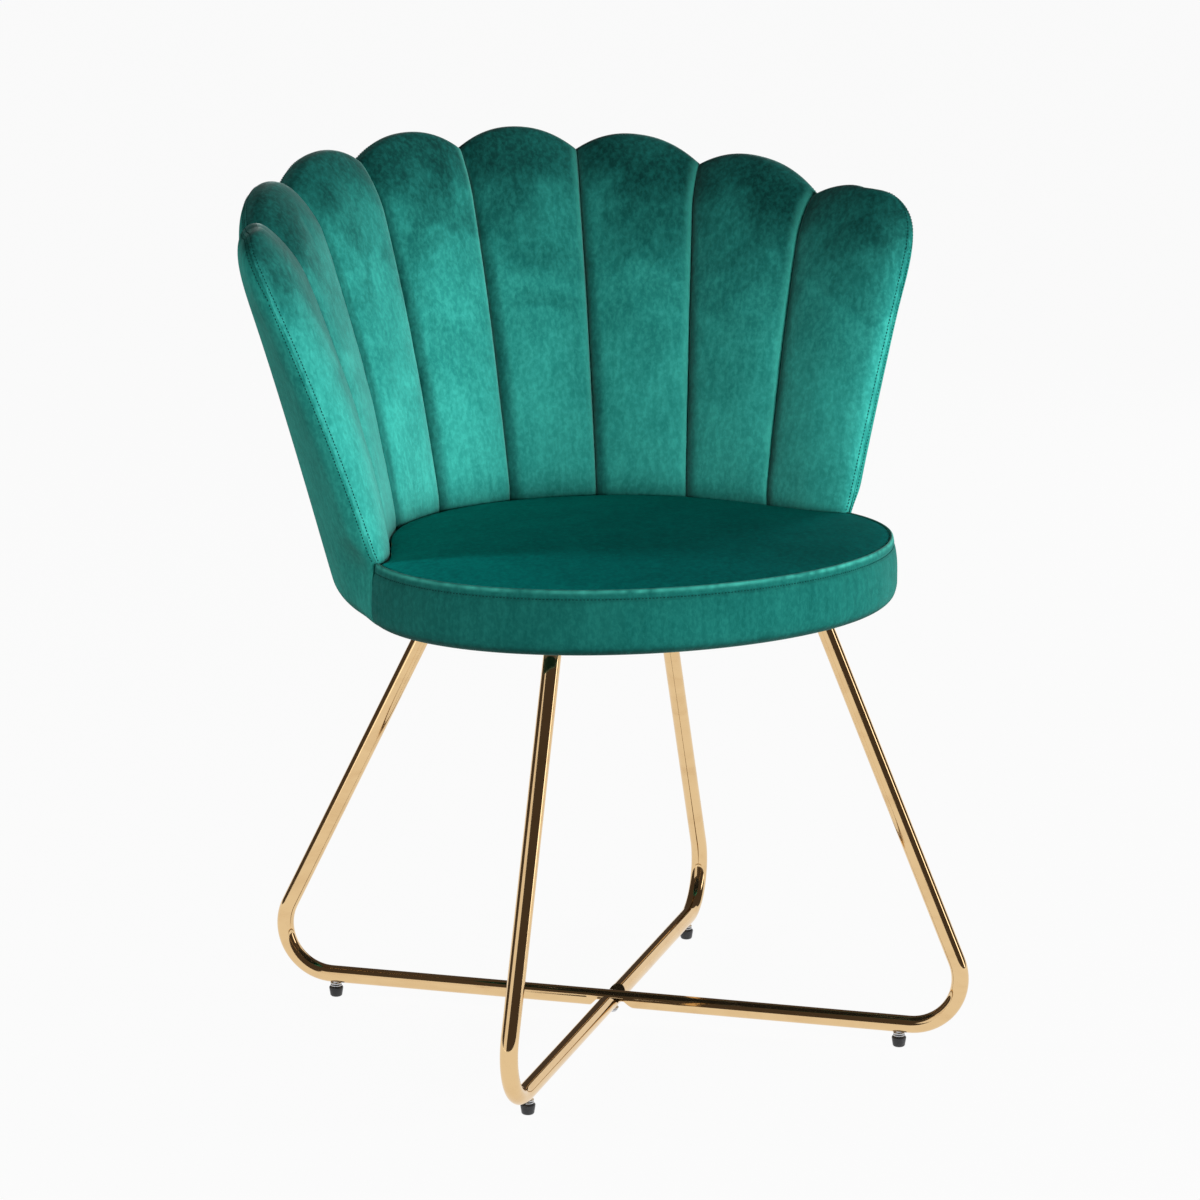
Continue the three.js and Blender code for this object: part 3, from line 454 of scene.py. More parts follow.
def new_piece(name, bm, finish=None):
    mesh = bpy.data.meshes.new(name)
    bm.to_mesh(mesh)
    bm.free()
    mesh.shade_smooth()
    piece = bpy.data.objects.new(name, mesh)
    bpy.context.scene.collection.objects.link(piece)
    if finish:
        mesh.materials.append(finish)
    return piece


def apply_modifiers(piece):
    graph = bpy.context.evaluated_depsgraph_get()
    mesh = bpy.data.meshes.new_from_object(piece.evaluated_get(graph))
    old = piece.data
    piece.modifiers.clear()
    piece.data = mesh
    bpy.data.meshes.remove(old)
    return piece


def subdivide(piece):
    smoother = piece.modifiers.new("smoother", "SUBSURF")
    smoother.levels = smoother.render_levels = 1
    return apply_modifiers(piece)


def cut_and_shape(sections):
    """A grid of cloth shaped over the sections, each a list of as many places. It closes round
    every section and is capped at both ends with a crease."""
    rows, columns = len(sections) - 1, len(sections[0])
    bm = bmesh.new()
    bmesh.ops.create_grid(bm, x_segments=rows, y_segments=columns, size=1)
    uv = bm.loops.layers.uv.new("cloth")
    for face in bm.faces:
        for loop in face.loops:
            loop[uv].uv = ((loop.vert.co.x + 1) / 2, (loop.vert.co.y + 1) / 2)
    for vert in bm.verts:
        i = round((vert.co.x + 1) / 2 * rows)
        j = round((vert.co.y + 1) / 2 * columns)
        vert.co = sections[i][j % columns]
    bmesh.ops.remove_doubles(bm, verts=bm.verts, dist=1e-7)
    crease = bm.edges.layers.float.new("crease_edge")
    rim = [e for e in bm.edges if e.is_boundary]
    caps = bmesh.ops.holes_fill(bm, edges=rim, sides=0)["faces"]
    for edge in rim:
        edge[crease] = 1
        edge.smooth = False
    bmesh.ops.triangulate(bm, faces=caps)
    bmesh.ops.recalc_face_normals(bm, faces=bm.faces)
    return bm


def turned(profile, centre):
    """Turned solid: (radius, height) points spun once round the upright through the centre."""
    sharp = math.radians(32)
    bm = bmesh.new()
    verts = [bm.verts.new((r * MM, 0, z * MM)) for r, z in profile]
    edges = [bm.edges.new(pair) for pair in zip(verts, verts[1:])]
    bmesh.ops.spin(bm, geom=verts + edges, cent=(0, 0, 0), axis=(0, 0, 1), dvec=(0, 0, 0),
                   angle=2 * math.pi, steps=48, use_merge=True)
    bmesh.ops.remove_doubles(bm, verts=bm.verts, dist=1e-6)
    bmesh.ops.recalc_face_normals(bm, faces=bm.faces)
    for edge in bm.edges:
        if len(edge.link_faces) == 2 and edge.calc_face_angle() > sharp:
            edge.smooth = False
    bm.transform(Matrix.Translation(centre))
    return bm


def softened(profile, amount):
    """Profile with every inner corner cut by the same small amount, twice, which rounds it."""
    for share in (amount, amount / 3):
        rounded = [profile[0]]
        for before, here, after in zip(profile, profile[1:], profile[2:]):
            for other in (before, after):
                run = math.dist(here, other)
                step = min(share, 0.4 * run) / max(run, 1e-9)
                rounded.append((lerp(here[0], other[0], step), lerp(here[1], other[1], step)))
        profile = rounded + [profile[-1]]
    return profile


def finish_piece(piece, body, slot, *nodes):
    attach(piece, body)
    if nodes:
        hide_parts(*nodes)
    return piece


def turned_piece(name, profile, body, slot, node):
    bm = turned(profile, middle_of(node))
    return finish_piece(new_piece(name, bm, slot_finish[slot]), body, slot, node)


# Finishes

def new_material(name):
    mat = bpy.data.materials.new(name)
    mat.use_nodes = True
    return mat, mat.node_tree, mat.node_tree.nodes["Principled BSDF"]


def feed(tree, node, **values):
    """Sets or links inputs of a node, named in lower case with an underscore for each space."""
    sockets = {}
    for socket in node.inputs:
        sockets.setdefault(socket.name.lower().replace(" ", "_"), socket)
    for name, value in values.items():
        socket = sockets[name]
        if isinstance(value, bpy.types.NodeSocket):
            tree.links.new(value, socket)
        elif isinstance(value, tuple) and len(value) < len(socket.default_value):
            socket.default_value = (*value, 1)
        else:
            socket.default_value = value
    return node.outputs


def math_node(tree, operation, *values):
    node = tree.nodes.new("ShaderNodeMath")
    node.operation = operation
    for socket, value in zip(node.inputs, values):
        if isinstance(value, bpy.types.NodeSocket):
            tree.links.new(value, socket)
        else:
            socket.default_value = value
    return node.outputs[0]


def noise_node(tree, vector, scale, detail, roughness=0.5, distortion=0.0):
    return feed(tree, tree.nodes.new("ShaderNodeTexNoise"), vector=vector, scale=scale,
                detail=detail, roughness=roughness, distortion=distortion)["Fac"]


def stretched(tree, vector, scale):
    return feed(tree, tree.nodes.new("ShaderNodeMapping"), vector=vector, scale=scale)["Vector"]


def levels(tree, value, low, high, out_low=0.0, out_high=1.0):
    node = tree.nodes.new("ShaderNodeMapRange")
    node.interpolation_type = "SMOOTHSTEP"
    return feed(tree, node, value=value, from_min=low, from_max=high, to_min=out_low,
                to_max=out_high)["Result"]


def mix_colours(tree, factor, first, second):
    node = tree.nodes.new("ShaderNodeMix")
    node.data_type = "RGBA"
    tree.links.new(factor, node.inputs["Factor"])
    for socket, value in ((node.inputs[6], first), (node.inputs[7], second)):
        if isinstance(value, tuple):
            socket.default_value = (*value, 1)
        else:
            tree.links.new(value, socket)
    return node.outputs[2]


def darker(colour, share):
    return tuple(share * part for part in colour)


def object_place(tree):
    return tree.nodes.new("ShaderNodeTexCoord").outputs["Object"]


def upright_part(tree, vector):
    return feed(tree, tree.nodes.new("ShaderNodeSeparateXYZ"), vector=vector)["Z"]


def marked(tree, name):
    """Share noted on the mesh for each point."""
    node = tree.nodes.new("ShaderNodeAttribute")
    node.attribute_name = name
    return node.outputs["Fac"]


def leaned(tree, direction, lean):
    """Direction tipped over by a lean."""
    tipped = tree.nodes.new("ShaderNodeVectorMath")
    tipped.operation = "ADD"
    tipped.inputs[1].default_value = lean
    tree.links.new(direction, tipped.inputs[0])
    even = tree.nodes.new("ShaderNodeVectorMath")
    even.operation = "NORMALIZE"
    tree.links.new(tipped.outputs[0], even.inputs[0])
    return even.outputs[0]


def bump(tree, shader, strength, distance, **sources):
    relief = feed(tree, tree.nodes.new("ShaderNodeBump"), strength=strength, distance=distance,
                  **sources)
    feed(tree, shader, normal=relief["Normal"])


def value_group(name, inputs, outputs):
    group = bpy.data.node_groups.new(name, "ShaderNodeTree")
    for direction, sockets in (("INPUT", inputs), ("OUTPUT", outputs)):
        for socket in sockets:
            group.interface.new_socket(socket, in_out=direction, socket_type="NodeSocketFloat")
    given = group.nodes.new("NodeGroupInput").outputs
    return group, given, group.nodes.new("NodeGroupOutput")


def use_group(tree, group, **values):
    node = tree.nodes.new("ShaderNodeGroup")
    node.node_tree = group
    return feed(tree, node, **values)


def pile_marks():
    """Where the pile of the velvet lies another way: soft clouds, faint upright streaks and small
    pressed spots, each with its share in how lit the cloth is. The spots and the fine grain of the
    pile are its height."""
    group, given, out = value_group(
        "pile_marks", ["Cloud Share", "Streak Share", "Spot Share", "Grain Share"],
        ["Clouds", "Lit", "Height"])
    place = object_place(group)
    clouds = noise_node(group, place, 16, 3, 0.55, 0.6)
    streaks = noise_node(group, stretched(group, place, (1, 1, 0.09)), 150, 2, 0.6)
    spots = noise_node(group, stretched(group, place, (1, 1, 0.7)), 260, 3, 0.6, 0.3)
    clouds = levels(group, clouds, 0.34, 0.68)
    streaks = math_node(
        group, "MULTIPLY", levels(group, streaks, 0.36, 0.66), given["Streak Share"])
    spots = math_node(group, "MULTIPLY", levels(group, spots, 0.36, 0.70), given["Spot Share"])
    lit = math_node(group, "MULTIPLY", clouds, given["Cloud Share"])
    for mark in (streaks, spots):
        lit = math_node(group, "ADD", lit, mark)
    grain = math_node(
        group, "MULTIPLY", noise_node(group, place, 1500, 2, 0.7), given["Grain Share"])
    feed(group, out, clouds=clouds, lit=lit, height=math_node(group, "ADD", grain, spots))
    return group


def lie_of_pile():
    """Painted shade on the velvet: where the cloth faces up, and more so high on the chair, where it
    faces down, and on one side of each groove."""
    group, given, out = value_group(
        "lie_of_pile", ["Turned Up", "Height", "Clouds", "Beside Seam", "Over Dark", "Under Dark"],
        ["Laid"])
    centred = math_node(group, "SUBTRACT", given["Clouds"], 0.5)
    uneven = math_node(group, "MULTIPLY", centred, 0.16)
    upwards = math_node(group, "SUBTRACT", given["Turned Up"], uneven)
    upwards = math_node(group, "ADD", upwards, levels(group, given["Height"], 0.52, 0.86, 0, 0.55))
    # Painted shade where the cloth faces up and high on the chair, and where it faces down
    over = levels(group, upwards, 0.15, 1.1, 0, given["Over Dark"])
    under = levels(group, given["Turned Up"], -0.1, -0.9, 0, given["Under Dark"])
    # Painted shade on one side of each groove
    pulled = levels(group, given["Beside Seam"], 0, 1, 0, 0.7)
    laid = math_node(group, "MAXIMUM", math_node(group, "MAXIMUM", over, under), pulled)
    feed(group, out, laid=laid)
    return group


def handling_marks():
    """Faint smears and dust for the hard pieces."""
    group, given, out = value_group(
        "handling_marks", ["Rough Low", "Rough High"], ["Smears", "Roughness", "Dust", "Fine"])
    place = object_place(group)
    smears = noise_node(group, stretched(group, place, (1, 1, 2.2)), 22, 4, 0.6, 0.8)
    smears = levels(group, smears, 0.4, 0.75)
    roughness = levels(group, smears, 0, 1, given["Rough Low"], given["Rough High"])
    dust = levels(group, noise_node(group, place, 420, 3, 0.6), 0.5, 0.8)
    feed(group, out, smears=smears, roughness=roughness, dust=dust,
         fine=noise_node(group, place, 2600, 2))
    return group


painted_highlight_colour = (0.06, 0.42, 0.34)  # painted highlight beside the grooves and along the band's fold
painted_shade_shares = (0.1, 0.4)  # how much of the deep colour is left in the painted shade
painted_low_light = 0.22  # painted light: how much more of the lit colour shows low on the chair
painted_low_light_heights = (0.46, 0.72)


def velvet(name, deep, lit, sheen, sheen_tint, pile_lean, over_dark, under_dark):
    """Velvet whose pile leans one way, which tips how it takes the light, with painted shade where
    the cloth faces up, where it faces down, high on the chair and on one side of each groove,
    painted light low on the chair, and a painted highlight where the mesh marks it."""
    mat, tree, shader = new_material(name)
    facing_out = tree.nodes.new("ShaderNodeNewGeometry").outputs["Normal"]
    height = upright_part(tree, object_place(tree))
    found = use_group(tree, pile, cloud_share=0.22, streak_share=0.24, spot_share=0.46,
                      grain_share=0.6)
    laid = use_group(tree, shade_group, turned_up=upright_part(tree, facing_out), height=height,
                     clouds=found["Clouds"], beside_seam=marked(tree, "beside_seam"),
                     over_dark=over_dark, under_dark=under_dark)["Laid"]
    # Painted light: more of the lit colour shows low on the chair
    amount = math_node(tree, "ADD", found["Lit"], levels(tree, height, *painted_low_light_heights, painted_low_light, 0))
    cloth = mix_colours(tree, amount, deep, lit)
    # Painted shade: darker copies of the deep colour, mixed in where the velvet is shaded
    pressed = mix_colours(tree, amount, *(darker(deep, share) for share in painted_shade_shares))
    shaded_cloth = mix_colours(tree, laid, cloth, pressed)
    # Painted highlight where the mesh marks it: beside the grooves and along the band's fold
    feed(tree, shader, base_color=mix_colours(tree, marked(tree, "brushed"), shaded_cloth, painted_highlight_colour),
         roughness=0.85, specular_ior_level=0.06, sheen_weight=sheen, sheen_roughness=0.4,
         sheen_tint=sheen_tint)
    bump(tree, shader, 0.35, 0.0004, height=found["Height"],
         normal=leaned(tree, facing_out, pile_lean))
    return mat


def thread(name, deep, lit):
    mat, tree, shader = new_material(name)
    twist = noise_node(tree, object_place(tree), 2400, 1)
    feed(tree, shader, base_color=mix_colours(tree, twist, deep, lit), roughness=0.8,
         specular_ior_level=0.1)
    return mat


def polished(name, colour, shade, rough_low, rough_high):
    mat, tree, shader = new_material(name)
    found = use_group(tree, handling, rough_low=rough_low, rough_high=rough_high)
    feed(tree, shader, base_color=mix_colours(tree, found["Smears"], colour, shade),
         roughness=found["Roughness"], metallic=1)
    bump(tree, shader, 0.03, 0.0001, height=found["Fine"])
    return mat


def plain(name, colour, shade, roughness, grain=0.2, distance=0.0002):
    mat, tree, shader = new_material(name)
    found = use_group(tree, handling, rough_low=roughness, rough_high=roughness + 0.12)
    feed(tree, shader, base_color=mix_colours(tree, found["Dust"], colour, shade),
         roughness=found["Roughness"])
    bump(tree, shader, grain, distance, height=found["Fine"])
    return mat


def layered_wood(name, dark, light):
    mat, tree, shader = new_material(name)
    fibres = noise_node(tree, stretched(tree, object_place(tree), (12, 1, 60)), 14, 4, 0.6)
    feed(tree, shader, base_color=mix_colours(tree, fibres, dark, light), roughness=0.7)
    bump(tree, shader, 0.2, 0.0004, height=fibres)
    return mat


pile = pile_marks()
shade_group = lie_of_pile()
handling = handling_marks()
back_velvet = velvet(
    "back_velvet", deep=(0.010, 0.18, 0.156), lit=(0.038, 0.35, 0.296),
    sheen=0.34, sheen_tint=(0.75, 1.0, 0.95), pile_lean=(0, 0, -0.45), over_dark=0.95,
    under_dark=0.8)
# A darker copy of the same velvet: painted shade on the outer cover
cover_velvet = velvet(
    "cover_velvet", deep=(0.006, 0.12, 0.102), lit=(0.022, 0.24, 0.198),
    sheen=0.14, sheen_tint=(0.4, 1.0, 0.85), pile_lean=(0, 0, -0.2), over_dark=0.95,
    under_dark=0.85)
# A darker copy of the same velvet: painted shade on the seat's band
band_velvet = velvet(
    "band_velvet", deep=(0.002, 0.060, 0.052), lit=(0.008, 0.112, 0.095),
    sheen=0.12, sheen_tint=(0.6, 1.0, 0.9), pile_lean=(0, 0, 0.1), over_dark=0.0,
    under_dark=0.8)
seat_velvet = velvet(
    "seat_velvet", deep=(0.001, 0.19, 0.175), lit=(0.003, 0.36, 0.33),
    sheen=0.0, sheen_tint=(0.3, 0.9, 0.85), pile_lean=(0, 0.3, 0), over_dark=0.0,
    under_dark=0.0)
green_thread = thread("green_thread", (0.0008, 0.018, 0.016), (0.002, 0.04, 0.034))
gold = polished("polished_gold", (0.78, 0.55, 0.29), (0.72, 0.49, 0.25), 0.05, 0.11)
zinc = polished("zinc_plated_steel", (0.62, 0.63, 0.65), (0.5, 0.51, 0.53), 0.22, 0.38)
black_steel = plain("black_painted_steel", (0.02, 0.02, 0.021), (0.05, 0.05, 0.052), 0.42)
black_plastic = plain("black_moulded_plastic", (0.012, 0.012, 0.013), (0.03, 0.03, 0.032), 0.34)
dust_cloth = plain(
    "black_dust_cloth", (0.012, 0.012, 0.013), (0.03, 0.03, 0.03), roughness=0.9,
    grain=0.8, distance=0.0005)
foam_block = plain(
    "cream_foam", (0.78, 0.70, 0.5), (0.66, 0.58, 0.4), roughness=0.9, grain=0.9,
    distance=0.0008)
plywood = layered_wood("birch_plywood", (0.42, 0.25, 0.11), (0.66, 0.45, 0.24))
slot_finish = {
    "velvet": back_velvet, "seat_velvet": seat_velvet, "foam": foam_block,
    "black_cloth": dust_cloth, "plywood": plywood, "gold_tube": gold, "zinc_steel": zinc,
    "black_steel": black_steel, "black_plastic": black_plastic,
}


def finish_frame_nodes():
    """Gives every piece carried over from the frame the finish of its slot."""
    slots = {m.get("name", m["slot"]): m["slot"] for m in frame["record"]["materials"]}
    for node in frame["nodes"].values():
        for index, mat in enumerate(node.data.materials):
            slot = slots.get(mat.name, mat.name)
            if slot in slot_finish:
                node.data.materials[index] = slot_finish[slot]


# Padding

padding_frames = 20
padding_cloth = {
    "quality": 5, "mass": 0.3, "tension_stiffness": 12, "compression_stiffness": 12,
    "shear_stiffness": 6, "bending_stiffness": 0.6, "use_pressure": True,
    "uniform_pressure_force": 4, "vertex_group_mass": "sewn",
}


def fill_with_padding(pieces, cap):
    """Blows the pieces up a little with the cloth solver, held at the group named sewn, and keeps
    every point within the cap of where it began."""
    before = {}
    for piece in pieces:
        before[piece.name] = [v.co.copy() for v in piece.data.vertices]
        cloth = piece.modifiers.new("padding", "CLOTH")
        for setting, value in padding_cloth.items():
            setattr(cloth.settings, setting, value)
        cloth.settings.effector_weights.gravity = 0
        cloth.collision_settings.use_collision = False
        cloth.point_cache.frame_start = 1
        cloth.point_cache.frame_end = padding_frames
    scene = bpy.context.scene
    for number in range(1, padding_frames + 1):
        scene.frame_set(number)
    for piece in pieces:
        apply_modifiers(piece)
        for vert, start in zip(piece.data.vertices, before[piece.name]):
            move = vert.co - start
            if move.length > 0:
                vert.co = start + move * (cap * math.tanh(move.length / cap) / move.length)
    scene.frame_set(1)


def mark(piece, name, shares):
    """Notes a share from 0 to 1 for each point, for the finish of the cloth."""
    values = piece.data.attributes.new(name, "FLOAT", "POINT")
    values.data.foreach_set("value", shares)


def hold(piece, weights):
    """Weights from 0, free, to 1, sewn down, one for each point."""
    group = piece.vertex_groups.new(name="sewn")
    for index, weight in enumerate(weights):
        if weight > 0:
            group.add([index], weight, "REPLACE")


# Back

def gathers(place, z):
    """Small ripples where the cloth is pulled to the stitches of a groove, in millimetres."""
    station, across, in_wing = place
    near = 0 if in_wing and across > 0 else ease((abs(across) - gather_start) / 0.5)
    ripple = noise.noise(Vector((station * 9, across * 0.8, z / gather_length)))
    wave = noise.noise(Vector((station * 5 + 7, across, z / wave_length)))
    return gather_height * near * ripple + wave_height * wave


def petal_outline(place):
    """Closed line round a slice of a petal: face, roll over the top, seam, back and foot."""
    station, across, in_wing = place
    seam = seam_at(place)
    face = []
    for z in spread(42, petal_bottom, top_at(place) - inner_roll_height):
        soft = gathers(place, z) * clamp((z - gather_foot) / gather_rise) * (1 - abs(across) ** 8)
        face.append((petal_face(place, z, unfilled) + soft, z))
    roll = [inner_roll(place, t, unfilled) for t in spread(16)[1:]]
    roll += [outer_roll(place, t) for t in spread(9, 1, seam + lip_turn)[1:]]
    roll.append(outer_roll(place, seam))
    shell = shell_line(place)[::-1]
    over = (shell[0][0], shell[0][1] + fit_gap)
    if not in_wing or across <= shell_end:
        inwards = -shell_thickness - fit_gap
        back = [(over[0] + inwards, over[1])] + [(r + inwards, z) for r, z in shell[1:]]
        back.append((shell_inside(station, petal_bottom) - fit_gap, petal_bottom))
    else:
        first = tuple(lerp(a, b, 0.02) for a, b in zip(*shell[:2]))
        foot_edge = shell_outside(station, petal_bottom) - seam_shift(place)
        back = [first] + shell[1:] + [(foot_edge, petal_bottom)]
    foot = [(lerp(back[-1][0], face[0][0], t), petal_bottom) for t in (0.33, 0.67)]
    tuck = [toward(roll[-1], over, tuck_step), toward(roll[-1], over, tuck_reach)]
    return face + roll + tuck + [over] + back + foot


def sewn_station(place):
    """Leaves half a gap on each side of the line where two petals are sewn together."""
    station, across, in_wing = place
    if abs(across) < 1 or (in_wing and across == 1):
        return station
    towards_middle = math.copysign(1, across) * (-1 if station > 1 else 1)
    return station + towards_middle * (fit_gap / 2) / (groove_foot * math.pi / 2)


def petal_steps(number, count):
    """Places across a petal, closer together towards its edges, closest at a wing's front edge."""
    if number in wing_numbers:
        return [math.sin(t) for t in spread(52, -right_angle, right_angle)]
    return [lerp(t, math.sin(right_angle * t), 0.75) for t in spread(count, -1, 1)]


def petal_row(number, steps):
    """Places on a petal in the order in which they stand round the back."""
    return sorted((petal_place(number, across) for across in steps), key=lambda place: place[0])


def petal_hold(number, co):
    """How firmly a point is held while the petal is padded."""
    place, radius, z = place_of(number, co)
    edge = ease((abs(place[1]) - held_edge) / 0.1)
    low = ease((held_foot - z) / 30)
    behind = 1.0 if radius > shell_inside(place[0], z) - held_behind else 0.0
    over = ease((z - (top_at(place) - held_below_top)) / 12)
    return max(edge, low, behind, over)


def groove_painted_light(number, co):
    """Painted shade on one side of a groove and a painted highlight on the other, as light falling
    across the back from one side gives: each from 0 to 1."""
    (_, across, in_wing), _, _ = place_of(number, co)
    if in_wing and across > 0:
        return 0.0, 0.0
    side = -across if number <= petal_count // 2 else across
    pressed = ease((side - groove_shade_start) / (1 - groove_shade_start))
    return pressed, groove_highlight_most * ease((-side - groove_highlight_start) / (1 - groove_highlight_start))


def petal(number):
    sections = []
    for across in petal_steps(number, 34):
        place = petal_place(number, across)
        station = sewn_station(place)
        sections.append([on_back(r, z, station) for r, z in petal_outline(place)])
    piece = new_piece(f"petal_{number}", cut_and_shape(sections), back_velvet)
    hold(piece, [petal_hold(number, vert.co) for vert in piece.data.vertices])
    # Painted shade on one side of each groove and a painted highlight on the other
    shares = [groove_painted_light(number, vert.co) for vert in piece.data.vertices]
    mark(piece, "beside_seam", [pressed for pressed, _ in shares])
    mark(piece, "brushed", [highlight_share for _, highlight_share in shares])
    return finish_piece(piece, "chair", "velvet", f"back_channel_{number}")


def cover_outline(place):
    """Closed line round a slice of the outer cover: hem, wall, roll up to the seam, and inside."""
    station = place[0]
    seam = seam_at(place)
    hem = shell_inside(station, shell_bottom) - cover_hem
    eased = ease(ahead_of(place, underside) / flush_foot_run)
    foot = lerp(boxing_rounding, cover_rounding, eased)
    first = cover_face(place, underside) - foot
    outside = [(lerp(hem, first, t), underside) for t in (0, 0.1, 0.5, 0.97)]
    for turn in spread(10, 0, right_angle):
        z = underside + foot * (1 - math.cos(turn))
        outside.append((cover_face(place, z) - foot * (1 - math.sin(turn)), z))
    wall = spread(36, underside + foot, top_at(place) - outer_roll_height)[1:]
    outside += [(cover_face(place, z), z) for z in wall]
    outside += [outer_roll(place, t) for t in spread(16, 0, seam - lip_turn)[1:]]
    lip = outer_roll(place, seam)
    outside.append((lip[0] + 0.5 * fit_gap, lip[1] - 0.5 * fit_gap))
    inside = []
    for r, z in reversed(shell_line(place)):
        inside.append((min(r + fit_gap, cover_face(place, z) - lip_thickness), z))
    tuck = [toward(outside[-1], inside[0], step) for step in (tuck_step, tuck_reach)]
    low = shell_bottom - fit_gap
    joint = min(shell_outside(station, low) + fit_gap, cover_face(place, low) - cover_foot_cloth)
    inside.append((joint, low))
    inside += [(shell_inside(station, shell_bottom), hem_top), (hem, hem_top)]
    return outside + tuck + inside


def outer_cover():
    places = []
    for number in range(1, petal_count + 1):
        row = petal_row(number, petal_steps(number, 24))
        places += row[1:] if places else row
    sections = [[on_back(r, z, place[0]) for r, z in cover_outline(place)] for place in places]
    piece = new_piece("outer_cover", cut_and_shape(sections), cover_velvet)
    return finish_piece(subdivide(piece), "chair", "velvet", "back_outer_cover")


# Seat

def front_radius(angle, inset=0.0):
    """Radius of the seat's oval front round the back's axis."""
    a, b = seat_half_width - inset, seat_front_reach - inset
    dx, dy = math.cos(angle), math.sin(angle)
    qa = (dx / a) ** 2 + (dy / b) ** 2
    qb = 2 * dy * seat_widest_forward / b ** 2
    qc = (seat_widest_forward / b) ** 2 - 1
    return (-qb + math.sqrt(qb ** 2 - 4 * qa * qc)) / (2 * qa)


def seat_edge(angle):
    """Radius of the seat's top round the back's axis."""
    angle %= 2 * math.pi
    start = wing_foot_angle - fit_gap / seat_half_width
    if start <= angle <= math.pi - start:
        turn = math.pi - angle if angle > right_angle else angle
        share = clamp((turn - start) / (right_angle - start))
        k = max(i for i in range(len(petal_shares)) if share >= petal_bounds[i])
        across = 2 * (petal_bounds[k + 1] - share) / petal_shares[k] - 1
        place = (share, across if k == 0 and across > 0 else 0, k == 0)
        radius = min(petal_face(place, z) for z in (seat_seam, seat_top)) - fit_gap
        return min(radius, front_radius(turn)) if k == 0 else radius
    return front_radius(angle)


def seat_pad():
    """Top of the seat: a square of cloth drawn round, sewn along its edge and padded."""
    bm = bmesh.new()
    bmesh.ops.create_grid(bm, x_segments=72, y_segments=72, size=1)
    lower = bmesh.ops.duplicate(bm, geom=bm.verts[:] + bm.edges[:] + bm.faces[:])
    under = {v for v in lower["geom"] if isinstance(v, bmesh.types.BMVert)}
    weights = []
    for vert in bm.verts:
        u, v = vert.co.x, vert.co.y
        x, y = u * math.sqrt(1 - v * v / 2), v * math.sqrt(1 - u * u / 2)
        share = math.hypot(x, y)
        angle = math.atan2(y, x)
        at_front = ease(-math.sin(angle) * 12 + 1.2)
        radius = (seat_edge(angle) - (2 * fold_radius - pad_overlap) * at_front) * share
        crown = seat_crown * (1 - share ** 2)
        z = seat_seam + crown
        if vert not in under:
            z = seat_seam + pad_edge + crown + pad_shoulder * (1 - share ** 14)
            ripple = noise.noise(Vector((x * 3.1, y * 3.1, 2.7)))
            ripple += 0.5 * noise.noise(Vector((x * 8, y * 8, 5)))
            z += pad_ripple * ripple * (1 - share ** 6)
        vert.co = round_axis(radius, angle, z)
        weights.append(1.0 if vert in under else ease((share - 0.93) / 0.06))
    rims = [e for e in bm.edges if e.is_boundary]
    bmesh.ops.bridge_loops(bm, edges=rims)
    bmesh.ops.recalc_face_normals(bm, faces=bm.faces)
    piece = new_piece("seat_pad", bm, seat_velvet)
    hold(piece, weights)
    return finish_piece(piece, "chair", "seat_velvet", "seat_cover")


def band_face(angle, z):
    """Outside of the seat's band: rounded foot, padded middle, and a flat strip above the
    stitches."""
    seam = front_radius(angle)
    strip = seat_seam - fit_gap - seam_band
    foot = underside + boxing_rounding
    dent = stitch_dent * hump(z - strip, dent_width)
    if z < foot:
        rounded = boxing_rounding * rounding(1 - (z - underside) / boxing_rounding)
        return seam + boxing_bulge - rounded
    if z < strip:
        share = (z - foot) / (strip - foot)
        soft = noise.noise(Vector((angle * 22, z / 40, 3))) * math.sin(math.pi * share)
        bulge = boxing_bulge * (1 - (1 - strip_bulge) * share ** 3)
        return seam + bulge + band_softness * soft - dent
    share = (z - strip) / seam_band
    return seam + boxing_bulge * strip_bulge * (1 - strip_taper * share) - dent


def boxing_outline(angle):
    """Closed line round a slice of the band: hem, foot, face, fold beside the seam, and inside."""
    seam = front_radius(angle)
    hem = front_radius(angle, boxing_thickness + boxing_hem)
    inner = seam - boxing_thickness
    top = seat_seam - fit_gap
    strip = top - seam_band
    heights = [underside + boxing_rounding * rounding(t) for t in spread(10)]
    heights += spread(16, underside + boxing_rounding, strip - 3)[1:]
    heights += spread(6, strip - 3, strip + 2)[1:]
    heights += spread(3, strip + 2, top - fold_radius + 1)[1:]
    first = seam + boxing_bulge - boxing_rounding
    outside = [(lerp(hem, first, t), underside) for t in (0, 0.1, 0.6, 0.97)]
    outside += [(band_face(angle, z), z) for z in heights]
    last, high = outside[-1]
    for turn in spread(7, 0, math.pi)[1:]:
        outside.append((last - fold_radius * (1 - math.cos(turn)),
                        high + 1.3 * fold_radius * math.sin(turn)))
    inside = [(inner, top - 3), (inner, lerp(top, hem_top, 0.5)), (inner, hem_top), (hem, hem_top)]
    return outside + inside


def pucker(t, z):
    """Small creases where the band runs into the wings, which die away at its very ends."""
    near_end = hump(t, pucker_reach) + hump(1 - t, pucker_reach)
    crease = noise.noise(Vector((z / pucker_length, t * 14, 1))) * (1 - hump(t, pucker_end))
    inside = clamp((z - pucker_foot) / 10) * clamp((seat_seam - fold_radius - z) / 6)
    return near_end * crease * inside


